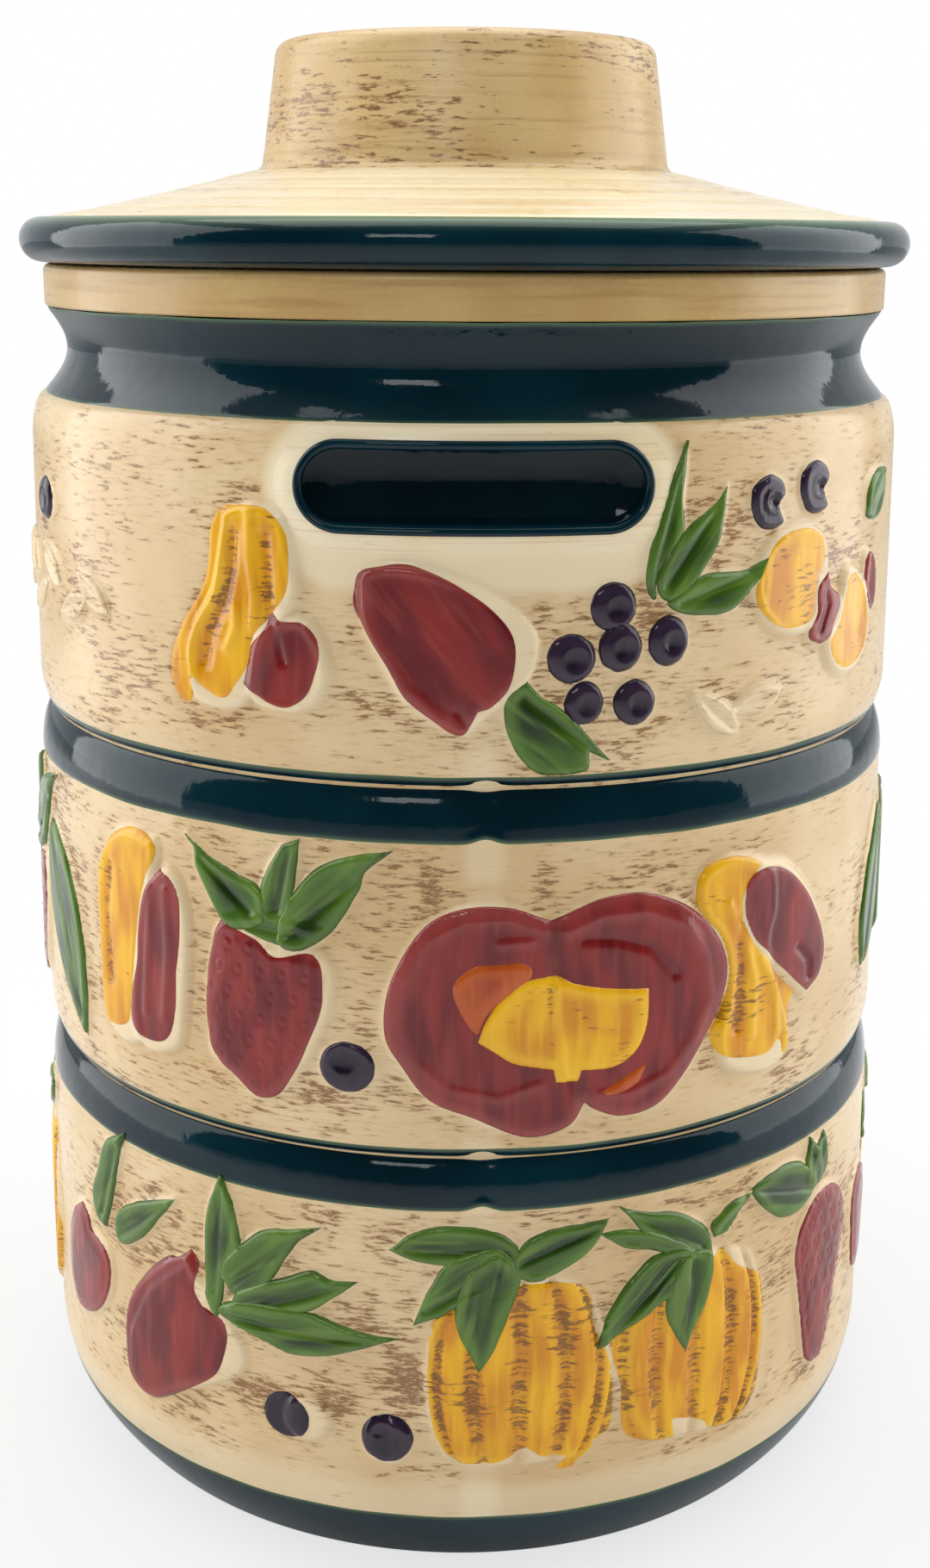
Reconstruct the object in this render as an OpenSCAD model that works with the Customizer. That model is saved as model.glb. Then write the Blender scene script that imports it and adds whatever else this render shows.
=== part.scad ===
// Rumtopf pot: a glazed jar in three stacked tiers with moulded fruit, and a lift-off lid with a drum knob.
// Millimetres. The origin is the centre of the foot on the table, +Z up, and one finger grip faces -Y.
// The jar and the lid are one casting each. Each moulding with its own glaze is a solid of its own.
// Angles go round the jar from -Y towards +X. Every ornament comes twice, half a turn apart.

/* [Foot] */
// How far the standing ring's outer edge is set in from the wall
foot_in = 12.1; // [10.5:0.1:18]
// Height of the rounded base
base_h = 25; // [21:0.5:28]
// Height of the coloured glaze on the base
foot_glaze_h = 16; // [10:0.5:18]
// Width of the standing ring
foot_ring_w = 12; // [8:0.5:16]
// Depth of the hollow under the floor
foot_hollow = 2; // [1:0.1:3]
// Thickness of the foot moulding
foot_band_t = 4.5; // [3:0.1:6]
// Thickness of the floor
floor_t = 7.5; // [6:0.1:12]

/* [Wall] */
// Radius of the wall at the top of the rounded base, its widest place
body_r = 94.5; // [92:0.5:102]
// How much the wall draws in for each millimetre of height
body_draw = 0.0147; // [0.005:0.0005:0.02]
// Thickness of the wall at the top tier
wall_t = 8.6; // [7:0.1:9.5]
// Height of the lower tier's wall, above the rounded base
lower_wall_h = 58.7; // [56:0.5:75]
// Height of the middle tier, from its waist to the ring above
middle_wall_h = 62.8; // [60:0.5:75]
// Height of the upper tier, from its waist to its shoulder
upper_wall_h = 55.5; // [54:0.5:68]
// Radius of the rounded corner inside, where the wall meets the floor
inner_corner_r = 14; // [8:0.5:18]

/* [Rings] */
// Height of a ring's rounded face, from the tier below to the waist
ring_rise = 10; // [8:0.2:11]
// How far the waist is set back from the wall
ring_set_back = 3.6; // [2.5:0.1:4.2]
// Height of a tier's rounded lower edge
edge_rise = 8; // [6:0.2:10]
// How far round that edge the ring's glaze runs, in degrees
edge_glaze = 45; // [25:1:60]
// Thickness of a ring at the waist
ring_t = 2; // [1.2:0.1:2.4]

/* [Neck and mouth] */
// Height of the rounded shoulder
shoulder_h = 9.4; // [7:0.2:12]
// How far the shoulder draws in
shoulder_in = 3; // [2:0.1:4]
// Height of the hollow neck
neck_h = 17.4; // [14:0.2:22]
// Depth of the neck's hollow below the rim
neck_hollow = 4.3; // [3:0.1:4.8]
// Thickness of the neck moulding at its hollow
neck_band_t = 2; // [1.2:0.1:2.2]
// Height of the rim band
rim_h = 8.2; // [6:0.2:12]
// How far the rim band's face is set in from the wall's widest place
rim_in = 6.6; // [5.5:0.1:7]
// Width of the rim band, from its face to the mouth
rim_w = 10.4; // [9.9:0.1:13.5]
// Rounding of the rim band's upper edge
rim_round = 1.4; // [0.8:0.1:2]

/* [Grips] */
// Width of a finger slot
grip_w = 61; // [50:0.5:64]
// Height of a finger slot
grip_h = 13.4; // [12:0.2:15]
// Distance from the neck down to the top of the slot
grip_drop = 4; // [3.6:0.1:5]
// Depth of the slot behind the wall
grip_depth = 14; // [11:0.5:16]
// Thickness of the slot's glazed lining
lining_t = 1.5; // [1:0.1:2]
// Thickness of the wall behind the lining
grip_back_t = 4.5; // [4:0.1:6]
// Width of the smooth frame round the slot
frame_w = 3.2; // [2:0.1:3.4]
// Height of the smooth frame above the wall
frame_relief = 1; // [0.6:0.1:1.4]

/* [Lid] */
// How far the lid stands out over the rim band
lid_overhang = 4.5; // [3.6:0.1:7]
// Thickness of the rolled lid edge
roll_t = 8.8; // [7.5:0.1:10]
// Width of the rolled lid edge
roll_w = 6.6; // [5.5:0.1:7.5]
// Rise of the cone from the roll to the knob
cone_rise = 9.2; // [7:0.1:12]
// Thickness of the cone
cone_t = 5.6; // [5:0.1:6.5]
// Gap between the lid and the mouth
seat_gap = 0.3; // [0.3:0.05:0.6]
// Depth of the locating flange inside the mouth
flange_depth = 9; // [6:0.2:14]
// Thickness of the locating flange
flange_t = 5; // [4:0.1:6]
// Chamfer of the locating flange's lower edge
flange_chamfer = 1; // [0.5:0.1:1.5]
// Gap between the locating flange and the mouth
flange_gap = 1.3; // [0.8:0.1:2]

/* [Knob] */
// Radius of the knob at its foot
knob_foot_r = 42.2; // [38:0.2:45]
// Radius of the knob at its upper edge
knob_top_r = 39.4; // [36:0.2:42]
// Height of the knob above the cone
knob_h = 26.5; // [20:0.5:32]
// Rounding of the knob's upper edge
knob_round = 3.2; // [2:0.1:5]
// Rise of the knob's slightly domed top
knob_dome = 0.8; // [0.4:0.1:1.5]
// Radius of the fillet at the knob's foot
knob_fillet = 2.6; // [1.5:0.1:3.5]
// Thickness of the knob's wall
knob_wall = 5.4; // [4:0.1:6]

/* [Ornament] */
// Height of the fruit above the wall
relief = 1.6; // [1:0.1:2]
// Height of the leaves and berries above the wall
leaf_relief = 1.2; // [0.8:0.1:1.6]
// Height of the unpainted leaves above the wall
plain_relief = 0.8; // [0.5:0.1:1.2]
// Radius of a berry
berry_r = 4.3; // [3.5:0.1:4.8]
// Width of the split fruit
split_w = 65; // [60:0.5:66]
// Height of the split fruit
split_h = 46; // [42:0.5:48]
// Width of the split fruit's core
core_w = 33; // [28:0.5:36]
// Height of the split fruit's core
core_h = 21; // [17:0.5:23]
// Width of a pumpkin
pumpkin_w = 34; // [30:0.5:35]
// Height of a pumpkin
pumpkin_h = 39; // [34:0.5:40]
// Number of ribs on a pumpkin
pumpkin_ribs = 6; // [5:1:8]
// Depth of the notches between the ribs
rib_notch = 1.4; // [0.8:0.1:2]
// Width of a strawberry in the middle tier
strawberry_w = 24; // [20:0.5:25]
// Height of a strawberry in the middle tier
strawberry_h = 33; // [28:0.5:34]
// Width of the gourd in the upper tier
gourd_w = 21; // [18:0.5:22]
// Height of the gourd in the upper tier
gourd_h = 36; // [32:0.5:37]
// How much slimmer the gourd's neck end is, as a radius
gourd_taper = 2.5; // [1:0.1:4]

/* [Hidden] */
$fn = 96;

CREAM = [0.90, 0.79, 0.58];
TAN = [0.72, 0.56, 0.33];
TEAL = [0.06, 0.16, 0.22];
YELLOW = [0.92, 0.66, 0.10];
RED = [0.47, 0.16, 0.17];
GREEN = [0.24, 0.38, 0.17];
BERRY = [0.13, 0.09, 0.16];

// Heights of the jar's levels, from the table up
lower_ring_z = base_h + lower_wall_h;
lower_waist_z = lower_ring_z + ring_rise;
upper_ring_z = lower_waist_z + middle_wall_h;
upper_waist_z = upper_ring_z + ring_rise;
shoulder_z = upper_waist_z + upper_wall_h;
neck_z = shoulder_z + shoulder_h;
rim_z = neck_z + neck_h;
mouth_z = rim_z + rim_h;
grip_z = neck_z - grip_drop - grip_h / 2;
edge_z = edge_rise * (1 - cos(edge_glaze));

// Radius of the drawn-in wall at a height
function wall_r(z) = body_r - body_draw * (z - base_h);
foot_r = body_r - foot_in;
rim_r = body_r - rim_in;
mouth_r = rim_r - rim_w;
lower_waist_r = wall_r(lower_waist_z) - ring_set_back;
upper_waist_r = wall_r(upper_waist_z) - ring_set_back;
neck_low_r = wall_r(shoulder_z) - shoulder_in;
neck_hollow_r = rim_r - neck_hollow;
neck_seat_r = neck_hollow_r - neck_band_t;
cavity_r = wall_r(shoulder_z) - wall_t;
floor_z = foot_hollow + floor_t;
ARC_STEPS = 8;
// How fast the rounded base swells out from the foot: 1 is a plain sine
BASE_SWELL = 0.85;
// How far the neck's upper edge lies behind the rim band's face
NECK_EDGE = 0.3;
// Step between the points of a leaf's outline, how far off its midrib the outline is looked for, both in
// degrees, and the radius of the hub at its stem
LEAF_STEP = 4;
LEAF_SPAN = 80;
HUB_R = 1.2;

// The rounded base, from the standing ring to the wall, as points of radius and height
function base_curve(from, to) = [
    for (i = [0 : ARC_STEPS])
        let (z = from + (to - from) * i / ARC_STEPS, share = z / base_h)
            [foot_r + (body_r - foot_r) * sin(90 * pow(share, BASE_SWELL)), z]
];
// The slanted seat of the foot moulding on the casting, from its lower edge up
function foot_seat_line() = [
    [foot_r - foot_band_t, foot_hollow],
    [base_curve(foot_glaze_h, base_h)[0][0] - foot_band_t, foot_glaze_h]
];
// A ring's rounded face, which rises from the wall below and turns in to the waist
function ring_face(waist_r, z0) = [
    for (i = [0 : ARC_STEPS])
        let (a = 90 * i / ARC_STEPS)
            [waist_r + (wall_r(z0) - waist_r) * cos(a), z0 + ring_rise * sin(a)]
];
// A tier's rounded lower edge, between two angles round it
function tier_edge(waist_r, waist_z, a0, a1) = [
    for (i = [0 : ARC_STEPS / 2])
        let (a = a0 + (a1 - a0) * 2 * i / ARC_STEPS)
            [waist_r + (wall_r(waist_z + edge_rise) - waist_r) * sin(a), waist_z + edge_rise * (1 - cos(a))]
];
// The shoulder, from the upper tier's wall to the neck
function shoulder_curve() = [
    for (i = [0 : ARC_STEPS / 2])
        let (a = 180 * i / ARC_STEPS)
            [neck_low_r + shoulder_in * cos(a), shoulder_z + shoulder_h * sin(a)]
];
// The neck's hollow, from the shoulder to the rim
function neck_curve() = [
    for (i = [0 : ARC_STEPS])
        let (share = i / ARC_STEPS, mouth_side = rim_r - NECK_EDGE)
            [
                neck_low_r + (mouth_side - neck_low_r) * share
                    - ((neck_low_r + mouth_side) / 2 - neck_hollow_r) * sin(180 * share),
                neck_z + neck_h * share
            ]
];

// The hollow inside the jar, from the floor's rounded corner to the mouth, as points of radius and height
function hollow_line() =
    let (corner_z = floor_z + inner_corner_r)
        concat(
            [
                for (i = [0 : ARC_STEPS])
                    let (a = 90 * i / ARC_STEPS)
                        [cavity_r - inner_corner_r * (1 - sin(a)), corner_z - inner_corner_r * cos(a)]
            ],
            [[cavity_r, shoulder_z], [mouth_r, neck_z], [mouth_r, rim_z]]
        );

// The hollow itself, as a solid
module hollow() {
    rotate_extrude()
        polygon(concat([[0, floor_z]], hollow_line(), [[0, rim_z]]));
}

// A part of the casting between two heights, from the hollow out to an outline
module casting_part(outline, z0, z1) {
    difference() {
        rotate_extrude()
            polygon(concat([[0, z0]], outline, [[0, z1]]));
        hollow();
    }
}

// A finger slot's outline, grown all round
module slot_outline(grow) {
    half = (grip_w - grip_h) / 2;
    square([2 * half, grip_h + 2 * grow], center = true);
    for (side = [-1, 1])
        translate([side * half, 0])
            circle(r = grip_h / 2 + grow);
}

// A prism with a finger slot's outline that reaches from a distance behind the wall to in front of it
module slot_prism(grow, behind) {
    wall_y = wall_r(grip_z);
    for (turn = [0, 180])
        rotate([0, 0, turn])
            translate([0, -(wall_y - behind), grip_z])
                rotate([90, 0, 0])
                    linear_extrude(height = behind + 10)
                        slot_outline(grow);
}

// A band of one height that lies on the wall between two levels
module wall_band(height, z0, z1) {
    rotate_extrude()
        polygon([
            [wall_r(z0), z0], [wall_r(z0) + height, z0],
            [wall_r(z1) + height, z1], [wall_r(z1), z1]
        ]);
}

module upper_band(height) {
    wall_band(height, upper_waist_z + edge_rise, shoulder_z);
}

module middle_band(height) {
    wall_band(height, lower_waist_z + edge_rise, upper_ring_z);
}

module lower_band(height) {
    wall_band(height, base_h, lower_ring_z);
}

// The casting of the jar is one piece of fired clay. Its tiers are a solid each.

// The floor and the rounded base
module base_shell() {
    color(CREAM)
        casting_part(
            concat(foot_seat_line(), base_curve(foot_glaze_h, base_h)),
            foot_hollow, base_h
        );
}

module lower_wall() {
    color(CREAM)
        casting_part([[wall_r(base_h), base_h], [wall_r(lower_ring_z), lower_ring_z]], base_h, lower_ring_z);
}

// A tier's outer face, from the seat of its ring to the ring above or the shoulder
function tier_line(waist_r, waist_z, top_z) = concat(
    [[waist_r - ring_t, waist_z - ring_rise], [waist_r - ring_t, waist_z + edge_z]],
    tier_edge(waist_r, waist_z, edge_glaze, 90),
    [[wall_r(top_z), top_z]]
);

module middle_wall() {
    color(CREAM)
        casting_part(tier_line(lower_waist_r, lower_waist_z, upper_ring_z), lower_ring_z, upper_ring_z);
}

// The upper tier with its shoulder and the neck's core, cut through by both finger slots
module upper_wall() {
    outline = concat(
        tier_line(upper_waist_r, upper_waist_z, shoulder_z),
        shoulder_curve(),
        [[neck_seat_r, neck_z], [neck_seat_r, rim_z]]
    );
    color(CREAM)
        difference() {
            casting_part(outline, upper_ring_z, rim_z);
            slot_prism(lining_t, grip_depth + lining_t);
        }
}

// The bosses inside the wall that close the back of the slots
module grip_housings() {
    color(CREAM)
        difference() {
            intersection() {
                slot_prism(lining_t + grip_back_t, grip_depth + lining_t + grip_back_t);
                hollow();
                cylinder(r = cavity_r, h = neck_z);
            }
            slot_prism(lining_t, grip_depth + lining_t);
        }
}

// The glazed base moulding, with the ring that the jar stands on
module foot_band() {
    color(TEAL)
        rotate_extrude()
            polygon(concat(
                foot_seat_line(),
                [for (i = [ARC_STEPS : -1 : 0]) base_curve(0, foot_glaze_h)[i]],
                [[foot_r - foot_ring_w, 0], [foot_r - foot_ring_w, foot_hollow]]
            ));
}

// One rolled ring under a tier
module ring_moulding(waist_r, z0) {
    color(TEAL)
        rotate_extrude()
            polygon(concat(
                [[waist_r - ring_t, z0]],
                ring_face(waist_r, z0),
                tier_edge(waist_r, z0 + ring_rise, 0, edge_glaze),
                [[waist_r - ring_t, z0 + ring_rise + edge_z]]
            ));
}

module lower_ring() {
    ring_moulding(lower_waist_r, lower_ring_z);
}

module upper_ring() {
    ring_moulding(upper_waist_r, upper_ring_z);
}

// The glazed hollow of the neck
module neck_band() {
    color(TEAL)
        rotate_extrude()
            polygon(concat([[neck_seat_r, neck_z]], neck_curve(), [[neck_seat_r, rim_z]]));
}

// The band round the mouth, which carries the lid
module mouth_rim() {
    color(TAN)
        rotate_extrude()
            polygon(concat(
                [[mouth_r, rim_z], [rim_r, rim_z]],
                [
                    for (i = [0 : 4])
                        let (a = 90 * i / 4)
                            [rim_r - rim_round * (1 - cos(a)), mouth_z - rim_round * (1 - sin(a))]
                ],
                [[mouth_r, mouth_z]]
            ));
}

// The glazed linings of both finger slots
module grip_linings() {
    color(TEAL)
        difference() {
            intersection() {
                slot_prism(lining_t, grip_depth + lining_t);
                cylinder(
                    r1 = wall_r(0) + frame_relief,
                    r2 = wall_r(mouth_z) + frame_relief,
                    h = mouth_z
                );
            }
            slot_prism(0, grip_depth);
        }
}

// The outline of a slot's frame as a prism
module frame_prism() {
    slot_prism(lining_t + frame_w, grip_depth);
}

// The smooth raised frames round both finger slots
module grip_frames() {
    color(CREAM)
        difference() {
            intersection() {
                wall_band(frame_relief, grip_z - grip_h, shoulder_z + shoulder_h);
                frame_prism();
            }
            slot_prism(lining_t, grip_depth);
            shoulder_clearance();
        }
}

// What lies above the shoulder's curve, so that nothing on the wall floats over it
module shoulder_clearance() {
    translate([0, 0, shoulder_z])
        cylinder(r = body_r * 2, h = shoulder_h * 2);
}

// Levels of the lid
lid_r = rim_r + lid_overhang;
lid_z = mouth_z + seat_gap;
cone_z = lid_z + roll_t;
knob_z = cone_z + cone_rise;
cone_r = lid_r - roll_w;
flange_r = mouth_r - flange_gap;

// The casting of the lid: a low cone with a turned flat underside
module lid_shell() {
    inner_r = knob_foot_r - knob_wall;
    hollow_r = flange_r - flange_t;
    color(CREAM)
        rotate_extrude()
            polygon([
                [hollow_r, lid_z], [cone_r, lid_z], [cone_r, cone_z],
                [knob_foot_r + knob_fillet, knob_z], [inner_r, knob_z],
                [inner_r, knob_z - cone_t], [hollow_r, cone_z - cone_t]
            ]);
}

// The rolled edge of the lid
module lid_roll() {
    half = roll_t / 2;
    color(TEAL)
        rotate_extrude()
            polygon(concat(
                [[cone_r, lid_z]],
                [
                    for (i = [0 : 2 * ARC_STEPS])
                        let (a = -90 + 180 * i / (2 * ARC_STEPS))
                            [lid_r - half + half * cos(a), lid_z + half + half * sin(a)]
                ],
                [[cone_r, cone_z]]
            ));
}

// The flange under the lid that keeps it centred in the mouth
module lid_flange() {
    low_z = lid_z - flange_depth;
    color(CREAM)
        rotate_extrude()
            polygon([
                [flange_r - flange_t, low_z], [flange_r - flange_chamfer, low_z],
                [flange_r, low_z + flange_chamfer], [flange_r, lid_z], [flange_r - flange_t, lid_z]
            ]);
}

// The hollow drum knob
module knob() {
    top_z = knob_z + knob_h;
    inner_r = knob_foot_r - knob_wall;
    color(TAN)
        rotate_extrude()
            polygon(concat(
                [[inner_r, knob_z], [knob_foot_r + knob_fillet, knob_z]],
                [
                    for (i = [1 : ARC_STEPS])
                        let (a = 90 * i / ARC_STEPS)
                            [
                                knob_foot_r + knob_fillet * (1 - sin(a)),
                                knob_z + knob_fillet * (1 - cos(a))
                            ]
                ],
                [
                    for (i = [0 : ARC_STEPS])
                        let (a = 90 * i / ARC_STEPS)
                            [
                                knob_top_r - knob_round * (1 - cos(a)),
                                top_z - knob_dome - knob_round * (1 - sin(a))
                            ]
                ],
                [[knob_top_r / 2, top_z - knob_dome / 4], [0, top_z]],
                [[0, top_z - knob_wall], [knob_top_r - 2 * knob_wall, top_z - knob_wall]],
                [[knob_top_r - knob_wall, top_z - 2 * knob_wall]]
            ));
}

// Outlines of the ornaments, drawn flat with the stem end up

function oval_points(w, h) = [
    for (i = [0 : 27])
        let (a = 360 * i / 28)
            [w / 2 * cos(a), h / 2 * sin(a)]
];

// Two round ends with straight flanks, such as a pear: the width is that of the lower end
function pear_points(top_r, low_r, h) =
    let (span = h - top_r - low_r, lean = asin((low_r - top_r) / span), mid = (low_r - top_r) / 2)
        concat(
            [
                for (i = [0 : 10])
                    let (a = lean + (180 - 2 * lean) * i / 10)
                        [top_r * cos(a), span / 2 + mid + top_r * sin(a)]
            ],
            [
                for (i = [0 : 12])
                    let (a = 180 - lean + (180 + 2 * lean) * i / 12)
                        [low_r * cos(a), -span / 2 + mid + low_r * sin(a)]
            ]
        );

// The split fruit's clefts: how wide they are as a share of its width, how deep the upper and the lower one
// are as a share of its height, and how far its shoulders rise
CLEFT_W = 0.13;
CLEFT_TOP = 0.22;
CLEFT_LOW = 0.16;
SHOULDER_RISE = 0.04;
// A wide fruit with a cleft above and below, as when it is split in two
function split_points(w, h) = [
    for (i = [0 : 43])
        let (
            a = 360 * i / 44,
            x = w / 2 * cos(a),
            dip = (a < 180 ? CLEFT_TOP : CLEFT_LOW) * exp(-pow(x / (w * CLEFT_W), 2))
        )
            [x, h / 2 * sin(a) * (1 - dip) + SHOULDER_RISE * h * cos(2 * a)]
];

// A round fruit whose upper and lower edges are notched between its ribs
function pumpkin_points(w, h) = [
    for (i = [0 : 47])
        let (
            a = 360 * i / 48,
            x = w / 2 * cos(a),
            notch = rib_notch * abs(cos(180 * pumpkin_ribs * (x / w + 0.5)))
        )
            [x, (h / 2 - rib_notch + (abs(sin(a)) < 0.1 ? 0 : notch)) * sin(a)]
];

// How far a pointed leaf reaches from its stem end, in a direction off its midrib
function leaf_reach(off, length, width) =
    length * cos(off) - (pow(length, 2) - pow(width, 2)) / (2 * width) * sin(abs(off));

// Leaves that spread from one hub, in one outline. Each leaf is an angle, a length and a width.
function spray_points(leaves) = [
    for (i = [0 : 360 / LEAF_STEP - 1])
        let (
            a = i * LEAF_STEP,
            reaches = [
                for (leaf = leaves)
                    let (off = (a - leaf[0] + 900) % 360 - 180)
                        abs(off) < LEAF_SPAN ? leaf_reach(off, leaf[1], leaf[2]) : 0
            ],
            r = max(concat([HUB_R], reaches))
        )
            if (r > HUB_R || i % 4 == 0)
                [-r * sin(a), r * cos(a)]
];

// Where the ornaments are. A place is an angle round the jar, a height above the tier's waist or base, and a
// tilt to the left in degrees. Lengths are millimetres.
GOURD_PLACE = [-27.8, 31, -12];
PLUM_PLACE = [-21.4, 23.5, 0];
PLUM_R = 7.3;
PEAR_PLACE = [-4.2, 25, 32];
PEAR_RADII = [6, 10];
PEAR_H = 33;
// Oval fruit of the upper tier, each a place and a size
UPPER_YELLOW_OVALS = [[[39.8, 35.5, 0], [15.5, 17]], [[52.5, 25.5, 0], [10.5, 16]]];
UPPER_RED_OVALS = [[[46.6, 29, 10], [6.5, 12.5]], [[59, 31, 8], [6, 11.5]]];
UPPER_BERRIES = [
    [16, 33, 0], [17.3, 26.2, 0], [22.4, 26.5, 0], [10.9, 24.1, 0], [12.3, 16.1, 0], [18.6, 15.5, 0],
    [-66, 45.6, 0]
];
UPPER_BEANS = [[35.8, 49.9, 0], [44, 51.7, 0]];
BEAN_SIZE = [6.6, 9.6];
PLAIN_LEAVES = [
    [-52, 30, 60], [-57, 26, 110], [-64, 33, 55], [-70, 25, 120], [-77, 33, 60], [-84, 26, 115],
    [-91, 33, 65], [29, 12, 50], [35, 13, 100]
];
PLAIN_LEAF = [0, 14, 5.5];
SPLIT_PLACE = [10.6, 29.5, 0];
CORE_PLACE = [10.6, 26.5, 0];
STRAWBERRY_PLACES = [[-24.8, 26.6, 2], [99, 26.6, 2]];
STRAWBERRY_TIP_R = 4;
MIDDLE_RED_OVALS = [[[-40.2, 33.8, 2], [10.4, 36]], [[41.4, 40, 22], [15.5, 29]]];
// Long yellow fruit of the middle tier, each a place and its two end radii
MIDDLE_PEARS = [[[-46.2, 37.5, 3], [5, 6.4]], [[34.6, 35.2, 14], [8, 9.4]]];
MIDDLE_PEAR_H = 40;
MIDDLE_BERRIES = [[-14.3, 18.7, 0]];
MIDDLE_BERRY_GROWTH = 1.1;
PUMPKIN_PLACES = [[6, 24, 0], [28.6, 24, 0], [94, 24, 0]];
// Red fruit of the lower tier, stem up: a place, the lower and upper end's radii and the height
LOWER_RED_PEARS = [
    [[-58, 25, -4], [6, 8.6], 24], [[-39.2, 21.5, -14], [6.5, 12.8], 35], [[69, 26.5, -4], [5, 7.2], 24]
];
LOWER_STRAWBERRY = [[53.2, 24.5, -4], [4, 9], 40];
LOWER_BERRIES = [[-22.4, 11, 0], [-9.7, 9.6, 0]];
LOWER_BERRY_GROWTH = 1.08;
// Leaves: where the stems meet, and for each leaf its direction from upright, its length and its width
UPPER_LEAVES = [
    [[5, 18.5, 0], [[-132, 18, 10]]],
    [[22.5, 33, 0], [[-8, 26, 8], [-36, 22, 8], [-68, 18, 8]]],
    [[57.5, 44, 0], [[-52, 14, 9]]]
];
CROWN = [[48, 19, 7.5], [4, 20, 8], [-52, 27, 8.5], [104, 13, 6.5], [-96, 15, 6.5]];
MIDDLE_LEAVES = [
    [[-24.2, 42, 0], CROWN], [[99.6, 42, 0], CROWN],
    [[-68, 51, 0], [[-156, 46, 17]]],
    [[64, 20, 0], [[-20, 36, 13]]],
    [[76, 22, 0], [[-16, 34, 13]]]
];
LOWER_LEAVES = [
    [[-52.5, 36.5, 0], [[-8, 21, 6.5], [-48, 23, 7.5]]],
    [[-34, 33, 0], [[-4, 25, 10], [-56, 30, 10], [-80, 33, 9.5], [-100, 41, 9.5]]],
    [[6, 50, 0], [[84, 25, 9], [-68, 19.5, 8.5], [124, 24, 9.5], [164, 26, 9.5]]],
    [[29, 45.5, 0], [[52, 20, 8.5], [132, 26, 9.5], [176, 20.5, 9], [-44, 12, 7.5]]],
    [[50.5, 46.5, 0], [[72, 23, 9], [-20, 12, 7], [108, 17, 7]]],
    [[94, 50, 0], [[72, 20, 8.5], [-72, 20, 8.5], [152, 23, 9], [-156, 21, 9]]]
];

// Sets a flat outline on the wall as a prism, at a place above a level, on the front and the back
module set_on_wall(place, level) {
    for (turn = [0, 180])
        rotate([0, 0, place[0] + turn])
            translate([0, -body_r / 2, level + place[1]])
                rotate([90, 0, 0])
                    linear_extrude(height = body_r)
                        rotate([0, 0, place[2]])
                            children();
}

// Ovals, each a place and a size
module ovals(list, level) {
    for (one = list)
        set_on_wall(one[0], level)
            polygon(oval_points(one[1][0], one[1][1]));
}

// Round berries at places
module berries(places, level, r) {
    for (place = places)
        set_on_wall(place, level)
            circle(r = r);
}

// Fruit that is narrow below, given by its place, its lower and upper end's radii and its height
module hanging_fruit(place, radii, h, level) {
    set_on_wall(place, level)
        rotate([0, 0, 180])
            polygon(pear_points(radii[0], radii[1], h));
}

// Leaves, each spray a place and its list
module sprays(list, level) {
    for (spray = list)
        set_on_wall(spray[0], level)
            polygon(spray_points(spray[1]));
}

module upper_yellow_fruit() {
    color(YELLOW)
        intersection() {
            upper_band(relief);
            difference() {
                union() {
                    set_on_wall(GOURD_PLACE, upper_waist_z)
                        polygon(pear_points(gourd_w / 2 - gourd_taper, gourd_w / 2, gourd_h));
                    ovals(UPPER_YELLOW_OVALS, upper_waist_z);
                }
                upper_red_outlines();
                frame_prism();
            }
        }
}

module upper_red_outlines() {
    set_on_wall(PLUM_PLACE, upper_waist_z)
        circle(r = PLUM_R);
    set_on_wall(PEAR_PLACE, upper_waist_z)
        polygon(pear_points(PEAR_RADII[0], PEAR_RADII[1], PEAR_H));
    ovals(UPPER_RED_OVALS, upper_waist_z);
}

module upper_red_fruit() {
    color(RED)
        intersection() {
            upper_band(relief);
            upper_red_outlines();
        }
}

module upper_berry_outlines() {
    berries(UPPER_BERRIES, upper_waist_z, berry_r);
    for (place = UPPER_BEANS)
        set_on_wall(place, upper_waist_z)
            polygon(oval_points(BEAN_SIZE[0], BEAN_SIZE[1]));
}

module upper_berries() {
    color(BERRY)
        intersection() {
            upper_band(leaf_relief);
            upper_berry_outlines();
        }
}

module upper_leaves() {
    color(GREEN)
        intersection() {
            upper_band(leaf_relief);
            difference() {
                sprays(UPPER_LEAVES, upper_waist_z);
                frame_prism();
                upper_berry_outlines();
                upper_red_outlines();
            }
        }
}

// The unpainted leaves in the plain places of the upper tier
module plain_leaves() {
    color(CREAM)
        intersection() {
            upper_band(plain_relief);
            difference() {
                for (place = PLAIN_LEAVES)
                    set_on_wall(place, upper_waist_z)
                        translate([0, -PLAIN_LEAF[1] / 2])
                            polygon(spray_points([PLAIN_LEAF]));
                upper_berry_outlines();
            }
        }
}

module middle_red_outlines() {
    ovals(MIDDLE_RED_OVALS, lower_waist_z);
}

module middle_red_fruit() {
    color(RED)
        intersection() {
            middle_band(relief);
            middle_red_outlines();
        }
}

module split_outline() {
    set_on_wall(SPLIT_PLACE, lower_waist_z)
        polygon(split_points(split_w, split_h));
}

module core_outline() {
    set_on_wall(CORE_PLACE, lower_waist_z)
        polygon(split_points(core_w, core_h));
}

module middle_split_fruit() {
    color(RED)
        intersection() {
            middle_band(relief);
            difference() {
                split_outline();
                core_outline();
            }
        }
}

module middle_fruit_cores() {
    color(YELLOW)
        intersection() {
            middle_band(leaf_relief);
            core_outline();
        }
}

module middle_yellow_fruit() {
    color(YELLOW)
        intersection() {
            middle_band(relief);
            difference() {
                for (one = MIDDLE_PEARS)
                    set_on_wall(one[0], lower_waist_z)
                        polygon(pear_points(one[1][0], one[1][1], MIDDLE_PEAR_H));
                middle_red_outlines();
                split_outline();
            }
        }
}

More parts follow.
